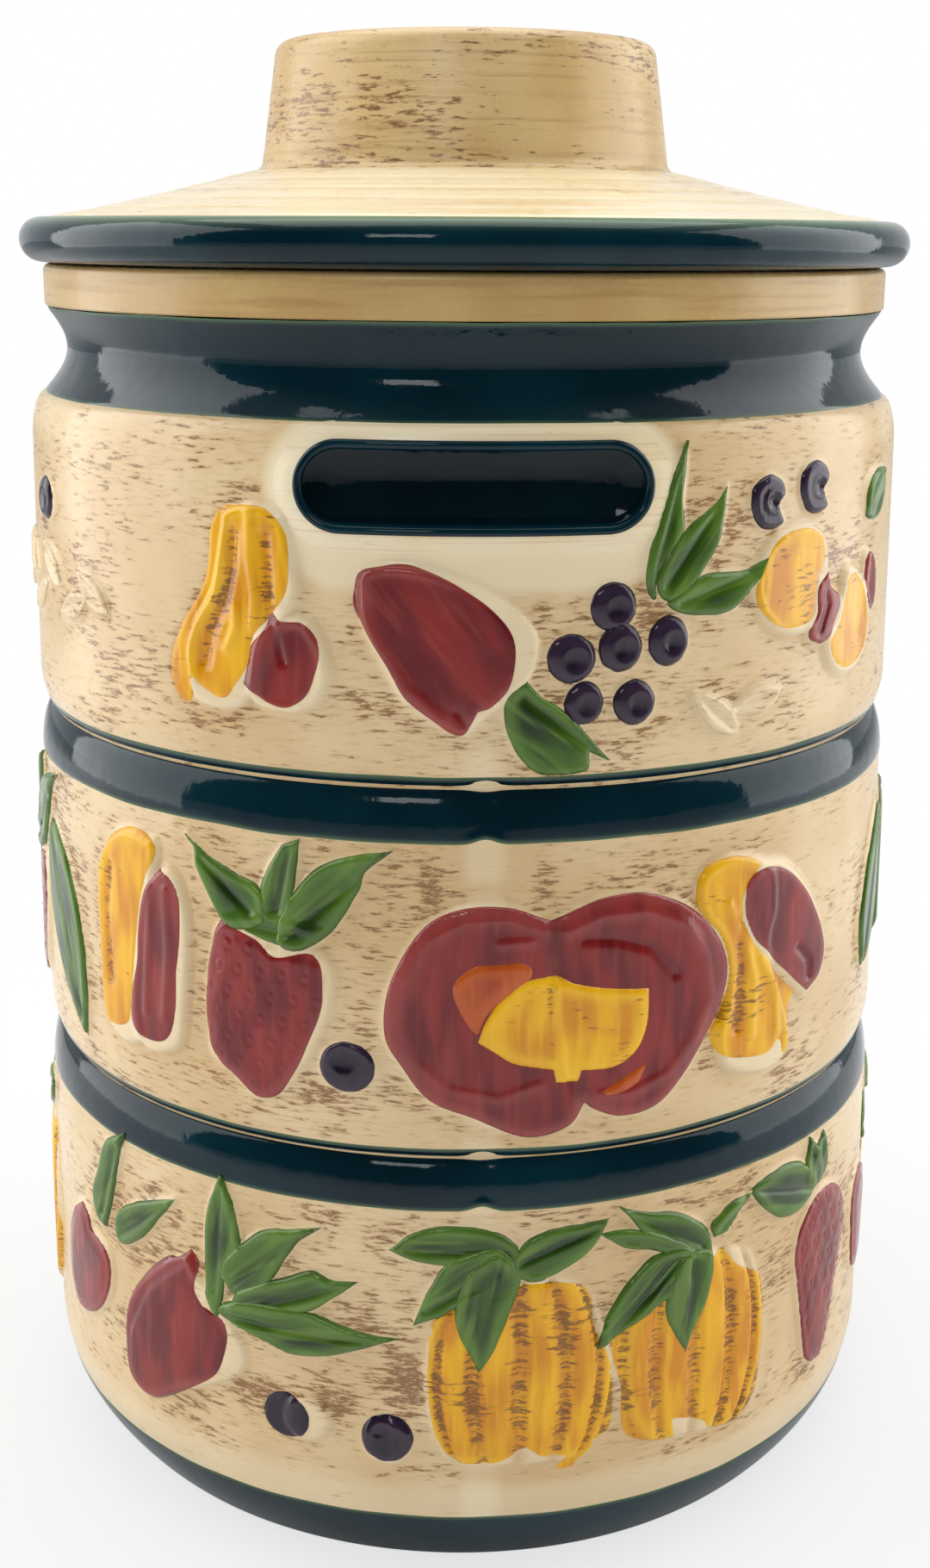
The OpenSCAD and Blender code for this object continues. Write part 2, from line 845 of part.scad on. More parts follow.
module middle_strawberries() {
    color(RED)
        intersection() {
            middle_band(relief);
            difference() {
                for (place = STRAWBERRY_PLACES)
                    hanging_fruit(place, [STRAWBERRY_TIP_R, strawberry_w / 2], strawberry_h, lower_waist_z);
                sprays(MIDDLE_LEAVES, lower_waist_z);
            }
        }
}

module middle_berries() {
    color(BERRY)
        intersection() {
            middle_band(leaf_relief);
            berries(MIDDLE_BERRIES, lower_waist_z, berry_r * MIDDLE_BERRY_GROWTH);
        }
}

module middle_leaves() {
    color(GREEN)
        intersection() {
            middle_band(leaf_relief);
            sprays(MIDDLE_LEAVES, lower_waist_z);
        }
}

module lower_leaves() {
    color(GREEN)
        intersection() {
            lower_band(leaf_relief);
            sprays(LOWER_LEAVES, base_h);
        }
}

module lower_strawberries() {
    color(RED)
        intersection() {
            lower_band(relief);
            difference() {
                hanging_fruit(LOWER_STRAWBERRY[0], LOWER_STRAWBERRY[1], LOWER_STRAWBERRY[2], base_h);
                sprays(LOWER_LEAVES, base_h);
            }
        }
}

module lower_red_fruit() {
    color(RED)
        intersection() {
            lower_band(relief);
            difference() {
                for (one = LOWER_RED_PEARS)
                    hanging_fruit(one[0], one[1], one[2], base_h);
                sprays(LOWER_LEAVES, base_h);
            }
        }
}

module lower_pumpkins() {
    color(YELLOW)
        intersection() {
            lower_band(relief);
            difference() {
                for (place = PUMPKIN_PLACES)
                    set_on_wall(place, base_h)
                        polygon(pumpkin_points(pumpkin_w, pumpkin_h));
                sprays(LOWER_LEAVES, base_h);
            }
        }
}

module lower_berries() {
    color(BERRY)
        intersection() {
            lower_band(leaf_relief);
            berries(LOWER_BERRIES, base_h, berry_r * LOWER_BERRY_GROWTH);
        }
}

base_shell();
lower_wall();
middle_wall();
upper_wall();
grip_housings();
foot_band();
lower_ring();
upper_ring();
neck_band();
mouth_rim();
grip_linings();
grip_frames();
lid_shell();
lid_roll();
lid_flange();
knob();
upper_yellow_fruit();
upper_red_fruit();
upper_berries();
upper_leaves();
plain_leaves();
middle_yellow_fruit();
middle_red_fruit();
middle_strawberries();
middle_split_fruit();
middle_fruit_cores();
middle_berries();
middle_leaves();
lower_red_fruit();
lower_strawberries();
lower_pumpkins();
lower_berries();
lower_leaves();
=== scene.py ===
"""The looks of a rumtopf pot: tiers of moulded and painted fruit, glazed rings and a lid with a drum knob.

Lengths are millimetres until a mesh is made. Angles go round the jar from -Y towards +X, in degrees. Every
ornament comes twice, half a turn apart.
"""

import math

import bmesh
import bpy
import numpy as np
from mathutils import Matrix, Vector
from mathutils.geometry import delaunay_2d_cdt


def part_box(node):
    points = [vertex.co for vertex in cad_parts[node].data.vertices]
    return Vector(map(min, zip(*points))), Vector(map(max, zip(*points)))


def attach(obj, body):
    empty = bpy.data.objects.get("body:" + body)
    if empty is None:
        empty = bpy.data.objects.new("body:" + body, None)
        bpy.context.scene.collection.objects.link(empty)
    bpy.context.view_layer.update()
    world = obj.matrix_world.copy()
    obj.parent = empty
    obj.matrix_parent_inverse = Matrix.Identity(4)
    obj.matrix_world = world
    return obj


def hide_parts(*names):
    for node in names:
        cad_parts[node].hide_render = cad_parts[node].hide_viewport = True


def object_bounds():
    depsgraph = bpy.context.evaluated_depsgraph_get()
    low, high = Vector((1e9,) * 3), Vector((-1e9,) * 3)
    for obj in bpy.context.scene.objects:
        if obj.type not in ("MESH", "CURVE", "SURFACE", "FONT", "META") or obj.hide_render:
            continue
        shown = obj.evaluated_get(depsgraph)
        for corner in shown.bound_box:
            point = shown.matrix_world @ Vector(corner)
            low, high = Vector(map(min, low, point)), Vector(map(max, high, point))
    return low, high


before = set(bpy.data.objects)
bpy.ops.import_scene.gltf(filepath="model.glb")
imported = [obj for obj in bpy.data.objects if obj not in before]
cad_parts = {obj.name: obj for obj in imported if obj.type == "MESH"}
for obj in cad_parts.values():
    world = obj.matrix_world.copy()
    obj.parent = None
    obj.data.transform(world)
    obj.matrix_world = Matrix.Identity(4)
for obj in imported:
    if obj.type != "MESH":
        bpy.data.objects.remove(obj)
CAD_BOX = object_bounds()
MM = 0.001


def level(node, end):
    """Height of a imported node's lower end, 0, or upper end, 1."""
    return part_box(node)[end].z / MM


def radius(node):
    """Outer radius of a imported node."""
    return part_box(node)[1].x / MM


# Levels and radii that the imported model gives
FOOT_GLAZE_Z = level("foot_band", 1)
BASE_Z = level("lower_wall", 0)
LOWER_RING_Z = level("lower_ring", 0)
UPPER_RING_Z = level("upper_ring", 0)
NECK_Z = level("neck_band", 0)
RIM_Z = level("mouth_rim", 0)
MOUTH_Z = level("mouth_rim", 1)
FLANGE_Z = level("lid_flange", 0)
LID_Z = level("lid_roll", 0)
CONE_Z = level("lid_roll", 1)
KNOB_Z = level("knob", 0)
TOP_Z = level("knob", 1)
BODY_R = radius("lower_wall")
RIM_R = radius("mouth_rim")
LID_R = radius("lid_roll")
FLANGE_R = radius("lid_flange")
WIDEST_R = CAD_BOX[1].x / MM

# Sizes of the wall and its mouldings
FOOT_R = 82.4
FOOT_RING_W = 12.0
FOOT_HOLLOW = 2.0
FLOOR_T = 7.5
CORNER_R = 14.0
BODY_DRAW = 0.0147
BASE_SWELL = 0.85
RING_RISE = 10.0
RING_SET_BACK = 3.6
EDGE_RISE = 8.0
SHOULDER_H = 9.4
SHOULDER_IN = 3.0
SHOULDER_Z = NECK_Z - SHOULDER_H
NECK_HOLLOW = 4.3
NECK_EDGE = 0.3
CAVITY_R = 83.0
MOUTH_R = 77.5
LOWER_WAIST_Z = LOWER_RING_Z + RING_RISE
UPPER_WAIST_Z = UPPER_RING_Z + RING_RISE
SEAM_ANGLE = 1.5

# Sizes of the finger slots
GRIP_W = 61.0
GRIP_H = 13.4
GRIP_Z = NECK_Z - 4.0 - GRIP_H / 2
GRIP_DEPTH = 14.0
LINING_T = 1.5
GRIP_BACK_T = 4.5
FRAME_W = 3.2

# Where the neck band and the base meet the walls
NECK_SEAT_R = RIM_R - NECK_HOLLOW - 2
BASE_SEAT_R = CAVITY_R + 3

# Sizes of the lid
ROLL_W = 6.6
LID_T = 5.6
FLANGE_T = 5.0
KNOB_R = 42.2
KNOB_FILLET = 2.6
KNOB_T = 5.4

# Fineness of the meshes
COLUMNS = 900
TURNED_STEPS = 384
ROW_STEP = 0.70
PATCH_STEP = 0.55
PAINT_T = 0.12

# Heights of the relief
FRUIT = 1.35
LEAF = 1.0
PLAIN = 0.8

# Room kept free outside the relief, depth of the wall under paint, farthest reach of an ornament from its
# place, and the share of a lower relief that lifts the one above it
SPARE_T = 0.5
PAINT_SEAT = 0.4
MOTIF_REACH = 50
UNDER_SHARE = 0.3


def wall_r(z):
    """Radius of the drawn-in wall at a height."""
    return BODY_R - BODY_DRAW * (z - BASE_Z)


# Meshes


def as_piece(name, points, faces, body, nodes, material, sharp=35.0):
    """A finished piece from points in millimetres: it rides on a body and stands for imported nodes."""
    mesh = bpy.data.meshes.new(name)
    mesh.from_pydata((np.asarray(points) * MM).tolist(), [], [tuple(face) for face in faces])
    mesh.validate()
    mesh.shade_smooth()
    mesh.set_sharp_from_angle(angle=math.radians(sharp))
    mesh.materials.append(material)
    piece = bpy.data.objects.new(name, mesh)
    bpy.context.scene.collection.objects.link(piece)
    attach(piece, body)
    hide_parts(*nodes)
    return piece


def add_float(mesh, name, values):
    """A value for each point of a mesh, which its material reads."""
    made = mesh.attributes.new(name, "FLOAT", "POINT")
    made.data.foreach_set("value", np.asarray(values, np.float32))


def on_turn(radii, angles, heights):
    """Points at radii, angles and heights."""
    turn = np.radians(angles)
    return np.stack([radii * np.sin(turn), -radii * np.cos(turn), heights + 0 * turn], -1)


def ring_faces(rows, columns, closed):
    """Quads of a grid of rows by columns that closes round its columns, and round its rows if closed."""
    row = np.arange(rows if closed else rows - 1)[:, None]
    column = np.arange(columns)[None, :]
    near, far = row * columns, ((row + 1) % rows) * columns
    after = (column + 1) % columns
    return np.stack([near + column, near + after, far + after, far + column], -1).reshape(-1, 4)


def turned(outline, columns=TURNED_STEPS):
    """Points and faces of a solid of revolution. Outline points on the axis become one point each."""
    angles = np.arange(columns) * 360.0 / columns
    points, faces, rows = [], [], []
    for r, z in outline:
        start = len(points)
        if r < 1e-6:
            points.append((0, 0, z))
            rows.append([start])
        else:
            points.extend(on_turn(np.full(columns, r), angles, z))
            rows.append(list(range(start, start + columns)))
    for low, high in zip(rows, rows[1:] + rows[:1]):
        if len(low) == 1 and len(high) == 1:
            continue
        for k in range(columns):
            after = (k + 1) % columns
            if len(low) == 1:
                faces.append((low[0], high[after], high[k]))
            elif len(high) == 1:
                faces.append((low[k], low[after], high[0]))
            else:
                faces.append((low[k], low[after], high[after], high[k]))
    return np.array(points), faces


def arc(centre, radii, start, end, steps):
    """Points along an elliptic arc, as radius and height. Angles are from outward, in degrees."""
    turn = np.radians(np.linspace(start, end, steps + 1))
    return [(centre[0] + radii[0] * math.cos(a), centre[1] + radii[1] * math.sin(a)) for a in turn]


def resampled(outline, step):
    """The same line with even steps, and the distance along it at each point."""
    line = np.array(outline, float)
    along = np.concatenate([[0], np.cumsum(np.hypot(*np.diff(line, axis=0).T))])
    at = np.linspace(0, along[-1], max(2, int(round(along[-1] / step)) + 1))
    return np.stack([np.interp(at, along, line[:, k]) for k in (0, 1)], -1), at


def waves(angles, seed, amount, low=3, high=40, count=9):
    """A smooth unevenness round the jar, the same on each run."""
    draw = np.random.default_rng(seed)
    total = np.zeros(len(angles))
    for _ in range(count):
        turns = draw.integers(low, high)
        total += math.sqrt(low / turns) * np.sin(np.radians(angles) * turns + draw.uniform(0, 2 * math.pi))
    return amount * total / math.sqrt(count)


def from_seam(angles):
    """Degrees from the nearer of the two mould seams."""
    return (angles - SEAM_ANGLE + 90) % 180 - 90


# The jar's outer line, from the foot to the rim


def base_line():
    """The rounded base up to where the wall is widest."""
    z = np.linspace(0, BASE_Z, 26)
    return list(zip(FOOT_R + (BODY_R - FOOT_R) * np.sin(np.pi / 2 * (z / BASE_Z) ** BASE_SWELL), z))


def ring_line(ring_z):
    """A rolled ring, from the tier below in to the waist."""
    waist_r = wall_r(ring_z + RING_RISE) - RING_SET_BACK
    return arc((waist_r, ring_z), (wall_r(ring_z) - waist_r, RING_RISE), 0, 90, 24)


def edge_line(waist_z):
    """A tier's rounded lower edge, from the waist out to the wall."""
    waist_r = wall_r(waist_z) - RING_SET_BACK
    swell = wall_r(waist_z + EDGE_RISE) - waist_r
    return [
        (waist_r + swell * math.sin(a), waist_z + EDGE_RISE * (1 - math.cos(a)))
        for a in np.radians(np.linspace(0, 90, 20))
    ]


def shoulder_line():
    """The rounded shoulder, from the upper tier's wall in to the neck."""
    neck_r = wall_r(SHOULDER_Z) - SHOULDER_IN
    return arc((neck_r, SHOULDER_Z), (SHOULDER_IN, SHOULDER_H), 0, 90, 20)


def neck_line():
    """The neck's hollow, up to the rim band."""
    low_r = wall_r(SHOULDER_Z) - SHOULDER_IN
    high_r = RIM_R - NECK_EDGE
    share = np.linspace(0, 1, 30)
    dip = (low_r + high_r) / 2 - (RIM_R - NECK_HOLLOW)
    line = low_r + (high_r - low_r) * share - dip * np.sin(np.pi * share)
    return list(zip(line, NECK_Z + (RIM_Z - NECK_Z) * share))


JAR_LINE, JAR_ALONG = resampled(
    base_line() + ring_line(LOWER_RING_Z) + edge_line(LOWER_WAIST_Z)
    + ring_line(UPPER_RING_Z) + edge_line(UPPER_WAIST_Z) + shoulder_line() + neck_line(),
    0.1,
)


def along_at(z):
    """Distance along the jar's outer line at which it first reaches a height."""
    return JAR_ALONG[np.argmax(JAR_LINE[:, 1] >= z - 1e-6)]


def jar_at(along, out=0.0):
    """Radius and height of the jar's outer face at distances along its line, moved out by out."""
    r, z = (np.interp(along, JAR_ALONG, JAR_LINE[:, k]) for k in (0, 1))
    step = 0.4
    ahead, behind = along + step, along - step
    dr = np.interp(ahead, JAR_ALONG, JAR_LINE[:, 0]) - np.interp(behind, JAR_ALONG, JAR_LINE[:, 0])
    dz = np.interp(ahead, JAR_ALONG, JAR_LINE[:, 1]) - np.interp(behind, JAR_ALONG, JAR_LINE[:, 1])
    size = np.hypot(dr, dz)
    return r + out * dz / size, z - out * dr / size


# Outlines of the ornaments, as loops of points across and up from their place


def evened(loop):
    """A loop with even steps."""
    line = np.vstack([loop, loop[:1]])
    even, _ = resampled(line, 0.5)
    return even[:-1]


def through(points, tips=()):
    """A smooth closed loop through chosen points, sharp at its tips."""
    knots = np.array(points, float)
    count = len(knots)
    loop = []
    for k in range(count):
        before, here, after, beyond = (knots[(k + i) % count] for i in (-1, 0, 1, 2))
        if k in tips:
            before = 2 * here - after
        if (k + 1) % count in tips:
            beyond = 2 * after - here
        steps = max(2, int(np.hypot(*(after - here)) / 0.4))
        for t in np.arange(steps) / steps:
            loop.append(
                0.5 * (
                    2 * here + (after - before) * t
                    + (2 * before - 5 * here + 4 * after - beyond) * t * t
                    + (3 * here - before - 3 * after + beyond) * t ** 3
                )
            )
    return evened(np.array(loop))


def oval(w, h):
    """A plain ellipse."""
    turn = np.linspace(0, 2 * math.pi, int(3 * (w + h)), endpoint=False)
    return np.stack([w / 2 * np.cos(turn), h / 2 * np.sin(turn)], -1)


def pear(low_r, top_r, h):
    """Two round ends with straight flanks. The top end is the wider one."""
    lean = math.asin((top_r - low_r) / (h - top_r - low_r))
    low_y, top_y = low_r - h / 2, h / 2 - top_r
    top = [(top_r * math.cos(a), top_y + top_r * math.sin(a)) for a in np.linspace(-lean, math.pi + lean, 40)]
    low = [
        (low_r * math.cos(a), low_y + low_r * math.sin(a))
        for a in np.linspace(math.pi + lean, 2 * math.pi - lean, 30)
    ]
    return evened(np.array(top + low))


def leaf(length, width):
    """A pointed leaf that grows up from its stem."""
    t = np.linspace(0, 1, int(length * 2))
    half = width / 2 * np.sin(math.pi * t ** 0.8) ** 0.9
    right = np.stack([half, length * t], -1)
    left = np.stack([-half, length * t], -1)
    return np.vstack([right, left[-2:0:-1]])


GOURD = through([
    (0, 19), (6.5, 19), (10.5, 15.5), (11.5, 10), (11, 4.5), (8, 0), (4.5, -4.5), (3.5, -9), (0.5, -13.5),
    (-2, -16), (-6.5, -14.5), (-9, -12.5), (-10.5, -18), (-13.5, -17), (-15, -12.5), (-14, -7.5), (-11, -2),
    (-7, 4), (-5.5, 9.5), (-5, 14.5), (-3, 18)], tips=(11,))
GOURD_FORM = through([
    (-1.5, 18.5), (5, 20), (10.5, 18), (12.5, 11), (13.5, 4), (10, -3.5), (5.5, -13.5), (2, -18), (-3.5, -19),
    (-9, -17.5), (-10.5, -12), (-10.5, -7), (-8.5, -2), (-5, 3.5), (-3.5, 9.5), (-2.5, 15)])
PLUM = through([
    (-2.5, 8), (0, 6.5), (3.5, 6.5), (6, 4.5), (7, 1), (6, -3), (4.5, -6.5), (1, -9), (-3, -8.5),
    (-6.5, -6.5), (-8, -5.5), (-7, -2), (-6, 2), (-3.5, 4.5)], tips=(0, 10))
PLUM_FORM = through([
    (-4.5, 5.5), (3, 8), (7.5, 4), (9, -2.5), (7.5, -7.5), (3, -10.5), (-3, -10.5), (-7, -8.5), (-7, -1.5)])
BIG_PEAR = through([
    (-14.5, 11.5), (-13.5, 14.5), (-10, 15.5), (-4.5, 16), (3, 13), (9.5, 8.5), (13, 4.5), (14, 0),
    (13, -5.5), (10, -9), (7.5, -10), (5.5, -14), (3.5, -14.5), (0, -12), (-5, -8), (-8.5, -2), (-12, 3.5),
    (-14.5, 8)], tips=(10,))
BIG_PEAR_FORM = through([
    (-14, 11), (-13, 15), (-8, 16.5), (0, 15.5), (9, 12), (15, 8), (18.5, 3), (18, -3), (14, -8), (9, -12),
    (5, -15), (0, -13), (-6, -9), (-10, -2), (-13, 4)])
LOW_LEAF = through([
    (1.5, 2), (-2, -1), (-2.5, -5), (-1, -10), (2, -14), (5.5, -15.5), (12.5, -15), (13, -11.5), (17, -13.5),
    (13.5, -9.5), (10, -5.5), (6.5, -2.5), (4, -1)], tips=(0, 7, 8))
TALL_LEAF = through([
    (3, 29), (2.5, 24), (2, 18.5), (2.5, 13.5), (0, 9), (-2.5, 4.5), (-3, 1), (-4.5, 2.5), (-5, 6.5),
    (-4, 10.5), (-2, 16.5), (0, 23)], tips=(0,))
SIDE_LEAF = through([
    (11.5, 20.5), (11, 15.5), (10, 10.5), (7, 6), (3.5, 2), (-0.5, 0.5), (-3, 3.5), (-2, 7.5), (1, 11.5),
    (5, 15), (9, 17.5)], tips=(0,))
FLAT_LEAF = through([
    (21, 7), (19, 3), (16, -0.5), (12, -2.5), (6, -2.5), (1.5, -1.5), (-0.5, 0.5), (2.5, 2.5), (7, 5),
    (11.5, 5), (16.5, 5)], tips=(0,))
BEAN = through([
    (0.5, 5), (4, 3.5), (4.5, 1), (3, -0.5), (4, -2.5), (4.5, -4), (2, -5), (-1.5, -4.5), (-3.5, -2), (-4, 1),
    (-3, 3.5)])
MELON = through([
    (3.5, 9), (8, 7.5), (10, 4.5), (9.5, 1.5), (8, -0.5), (7.5, -4.5), (6.5, -8.5), (1, -9.5), (-3.5, -8.5),
    (-7.5, -5.5), (-9, -1), (-7.5, 3), (-3.5, 7.5)])
MELON_FORM = through([
    (3.5, 10), (10.5, 7.5), (12.5, 1), (11, -6), (7.5, -11), (0.5, -11.5), (-5.5, -9), (-9.5, -3.5),
    (-9.5, 2), (-5, 8)])
SLIVER = through([
    (0, 6.5), (2, 3.5), (5.5, 1), (5, -2), (1, -7), (-3.5, -6.5), (-5, -4), (-3, -1), (-3, 3.5)], tips=(0,))
SMALL_PEAR = through([
    (2.5, 8), (6.5, 4.5), (9, -1), (8.5, -6), (5, -9), (-0.5, -10), (-5, -8), (-7, -4), (-4, -1), (-2, 3.5),
    (-0.5, 8)])
STRAWBERRY = through([
    (-9, 18), (-6, 17), (-0.5, 15), (3, 12.5), (9.5, 14), (12, 12), (12.5, 8), (12, 2.5), (9.5, -4),
    (6.5, -10.5), (3, -15.5), (-1, -16.5), (-5.5, -14), (-10.5, -9.5), (-12.5, -4.5), (-12.5, 2.5),
    (-11.5, 11)], tips=(0,))
STRAWBERRY_FORM = through([
    (-8.5, 18), (9, 16), (14.5, 12.5), (15, 6), (12.5, -2.5), (8, -11), (3.5, -16), (-1.5, -17.5),
    (-6.5, -14), (-12, -10.5), (-13, -5), (-13.5, 2), (-12, 11)])
CROWN = (
    through([(-10, 3), (-3, 5), (5, 5), (11.5, 3.5), (8.5, -0.5), (3, -0.5), (-3, 1)], tips=(0, 3)),
    through([(7, 20.5), (6.5, 15), (6, 11), (5, 5), (0, 4), (-1, 10), (1, 15), (3.5, 19)], tips=(0, 7)),
    through([
        (-18, 18), (-13, 15), (-7, 12.5), (-1, 10), (0, 4), (-4.5, 1.5), (-9.5, 2.5), (-13.5, 8.5),
        (-15.5, 12.5), (-16, 15.5)], tips=(0,)),
    through([
        (24.5, 19.5), (19.5, 15), (18, 11), (13.5, 3.5), (8.5, -0.5), (4, -1), (2.5, 2.5), (5.5, 9.5),
        (10, 15), (16.5, 18)], tips=(0,)),
)
BANANA = through([
    (-2.5, 19), (3, 21), (9, 19.5), (9.5, 16), (7, 11.5), (5, 3), (3.5, -6), (2, -15.5), (0.5, -20),
    (-4.5, -21.5), (-8, -20), (-8.5, -9), (-10, 2.5), (-10, 8.5), (-7, 15.5)])
BANANA_FORM = through([
    (-1.5, 20), (7.5, 20.5), (10.5, 17.5), (7, 1), (5.5, -14.5), (6, -22), (1, -25), (-4.5, -24),
    (-8.5, -19), (-9.5, -3.5), (-9, 11.5)])
PEPPER = through([
    (1, 18), (4.5, 16.5), (6.5, 12.5), (6.5, 5.5), (5.5, -2), (5, -10), (3.5, -15), (0.5, -17.5),
    (-4.5, -17.5), (-7.5, -14.5), (-7, -8.5), (-5, -2), (-4.5, 5.5), (-2.5, 13)], tips=(0,))
PEPPER_FORM = through([
    (1, 18.5), (5.5, 18), (8, 13), (9, 5), (8, -8), (6.5, -17), (1, -20.5), (-5, -20.5), (-8, -14.5),
    (-6.5, -2), (-4, 11.5)])
SPLIT = through([
    (-2.5, 18.5), (3, 21), (8, 22.5), (16, 22.5), (25, 18.5), (31, 12), (33.5, 5.5), (33, -1), (29.5, -8),
    (24.5, -15.5), (19, -20.5), (12, -21.5), (6.5, -19.5), (4.5, -18), (1, -22.5), (-7, -24), (-16.5, -20),
    (-24.5, -16.5), (-29.5, -10), (-32.5, -4), (-32, 5), (-28.5, 13.5), (-24, 19), (-17.5, 21.5),
    (-10.5, 21.5), (-5, 19.5)], tips=(0, 13))
SPLIT_RIDGES = (
    [(0.5, 16.5), (7, 19), (15.5, 19), (23.5, 15.5), (28, 8.5), (29.5, 0), (26, -8), (21, -14), (13, -17),
     (7, -16.5)],
    [(-3.5, 17), (-10.5, 19.5), (-18.5, 19), (-25, 15), (-28.5, 7.5), (-30, -0.5), (-27.5, -8.5),
     (-21.5, -14), (-12, -16), (-4.5, -13.5)],
)
CORE = through([
    (-1.5, 11), (2, 9.5), (8.5, 8), (16.5, 7), (16.5, 0.5), (14.5, -5), (10, -8), (3.5, -8), (3, -10.5),
    (-1.5, -10), (-2, -7.5), (-9, -6), (-13, -3.5), (-16, -1.5), (-14.5, 3), (-11.5, 7), (-7, 10.5)],
    tips=(3, 7, 8, 9, 10, 13))
CORE_BLUSH = through([
    (-20.5, 9.5), (-17, 13.5), (-12.5, 14), (-7.5, 14), (-6, 11.5), (-9.5, 8), (-14, 4), (-16, 0), (-19, 4)])
LOW_BLUSH = through([(7.5, -12.5), (16, -8), (17, -6.5), (15, -11.5), (10.5, -13.5)])
YELLOW_PEAR = through([
    (-7.5, 21), (-2, 21), (3, 18.5), (1, 15.5), (-1, 12), (0.5, 6), (4.5, 0.5), (10.5, -4), (16.5, -10.5),
    (14, -13.5), (14, -19), (11.5, -23), (10, -19), (6.5, -21), (0, -20.5), (-5.5, -18.5), (-7.5, -14.5),
    (-5.5, -8.5), (-4.5, -2), (-6.5, 5.5), (-11.5, 11), (-12, 16), (-11, 19)], tips=(8, 11))
YELLOW_PEAR_FORM = through([
    (-7.5, 21.5), (-1, 21.5), (6.5, 18), (8, 9.5), (6.5, 1.5), (11, -10), (14, -20.5), (10, -25), (2, -25),
    (-5, -21.5), (-7, -14.5), (-5, -6), (-6.5, 4), (-11.5, 11), (-12, 18)])
RED_PLUM = through([
    (-6.5, 13), (-0.5, 11), (5.5, 6), (10.5, -1), (13.5, -8), (12, -13.5), (7.5, -16), (2, -11.5),
    (-4.5, -5.5), (-9.5, -0.5), (-12, 5.5), (-11, 11)], tips=(6,))
PAIR_LEAVES = (
    through([
        (7, 24), (5, 16.5), (2.5, 7.5), (-0.5, 0), (-4, 1), (-6, 6.5), (-3, 13.5), (0, 20)], tips=(0, 3)),
    through([(23, 15), (19, 10), (13.5, 3.5), (7, -1), (4, 0), (4, 5), (9.5, 9.5), (16, 12.5)], tips=(0,)),
)
SMALL_RED = through([
    (-3, 12.5), (0.5, 10.5), (2, 8), (8, 6), (10, 2), (9, -3), (5.5, -8.5), (-0.5, -12.5), (-7, -13.5),
    (-11, -9), (-12, -3), (-11, 4), (-8, 9)], tips=(0,))
ROUND_RED = through([
    (5, 20), (7, 17.5), (6.5, 12), (8.5, 9), (13, 7.5), (14.5, 4.5), (14, 0), (11.5, -5.5), (5, -11),
    (-3, -16.5), (-8, -18.5), (-13.5, -16.5), (-15.5, -11.5), (-16.5, -6), (-14, 2.5), (-8.5, 10), (-2, 16),
    (2, 17.5)], tips=(0, 3))
ROUND_RED_FORM = through([
    (4, 19), (8, 15), (14.5, 8.5), (19, 1.5), (18, -4), (11.5, -8.5), (3, -13), (-7, -18.5), (-14, -16.5),
    (-16, -10), (-14.5, 2), (-5, 13)])
PALM_LEAVES = (
    through([
        (4.5, 27), (7.5, 22), (9, 15.5), (9.5, 12), (6, 6.5), (4, -3.5), (1, 0), (0.5, 8), (1, 17.5),
        (3, 23.5)], tips=(0,)),
    through([(26.5, 20.5), (21, 15.5), (17, 8.5), (14.5, 4.5), (7.5, 2), (5, 7), (8.5, 12.5), (14, 17.5),
             (20, 19)], tips=(0,)),
    through([(33.5, 10), (29, 6), (24, 2), (16.5, -0.5), (7, -2.5), (8.5, 3), (15.5, 7), (19, 8.5),
             (24.5, 11), (29, 9.5)], tips=(0,)),
    through([(41, -1.5), (35, -4), (27.5, -7), (20.5, -8), (14.5, -6.5), (7, -4.5), (4, -2), (7, 0.5),
             (15.5, 2), (24.5, 2), (32.5, -0.5)], tips=(0,)),
)
PUMPKIN = through([
    (-16, 13), (-9, 16), (-1, 19), (4.5, 19.5), (11, 18.5), (14, 15), (15, 8.5), (17.5, 2.5), (19, -5),
    (18.5, -14), (15, -17), (11, -22), (8, -22), (9.5, -19), (5, -18.5), (1.5, -16), (-4, -19), (-8.5, -19.5),
    (-12.5, -18.5), (-16, -13.5), (-17.5, -5), (-17.5, 3.5)], tips=(11, 15))
PUMPKIN_FORM = through([
    (-16.5, 14.5), (-2, 21), (9.5, 21), (16, 12.5), (20, 0.5), (20, -12.5), (16, -19.5), (9, -20.5),
    (-4, -20.5), (-14, -19), (-19, -10.5), (-19.5, 3.5)])
FAR_PUMPKIN = through([
    (-18, 8), (-14, 12), (-6, 12), (3, 17.5), (7, 19), (10.5, 14.5), (18, 9), (19, 0.5), (19, -9),
    (17.5, -18), (11.5, -22), (5, -21), (2.5, -18), (-4.5, -15.5), (-4, -20), (-8, -20), (-15, -16.5),
    (-16, -6), (-18, 2)], tips=(4, 14))
FAR_PUMPKIN_FORM = through([
    (-16, 6.5), (-8.5, 15.5), (5, 20), (17, 14), (20.5, 0), (20.5, -12), (18, -20), (10, -22), (-2, -21),
    (-11, -19), (-16, -8)])
PUMPKIN_LEAVES = (
    through([(-25, 0.5), (-20, 4.5), (-13, 6), (-4.5, 4.5), (0, 0.5), (-3, -3), (-13.5, -2.5), (-20.5, -1.5)],
            tips=(0,)),
    through([(17.5, 5.5), (14, -0.5), (8, -4.5), (2, -6), (-2, -3.5), (0.5, 2), (5.5, 4.5), (11, 5)],
            tips=(0,)),
    through([(-20.5, -15.5), (-17.5, -7.5), (-13, -1), (-4.5, 1.5), (-1, -3), (-5.5, -7.5), (-10.5, -10),
             (-15, -13)], tips=(0,)),
    through([(-8, -25), (-11.5, -17), (-12.5, -11.5), (-10.5, -4.5), (-4.5, 0.5), (0, -5), (-2.5, -13),
             (-5, -20)], tips=(0,)),
)
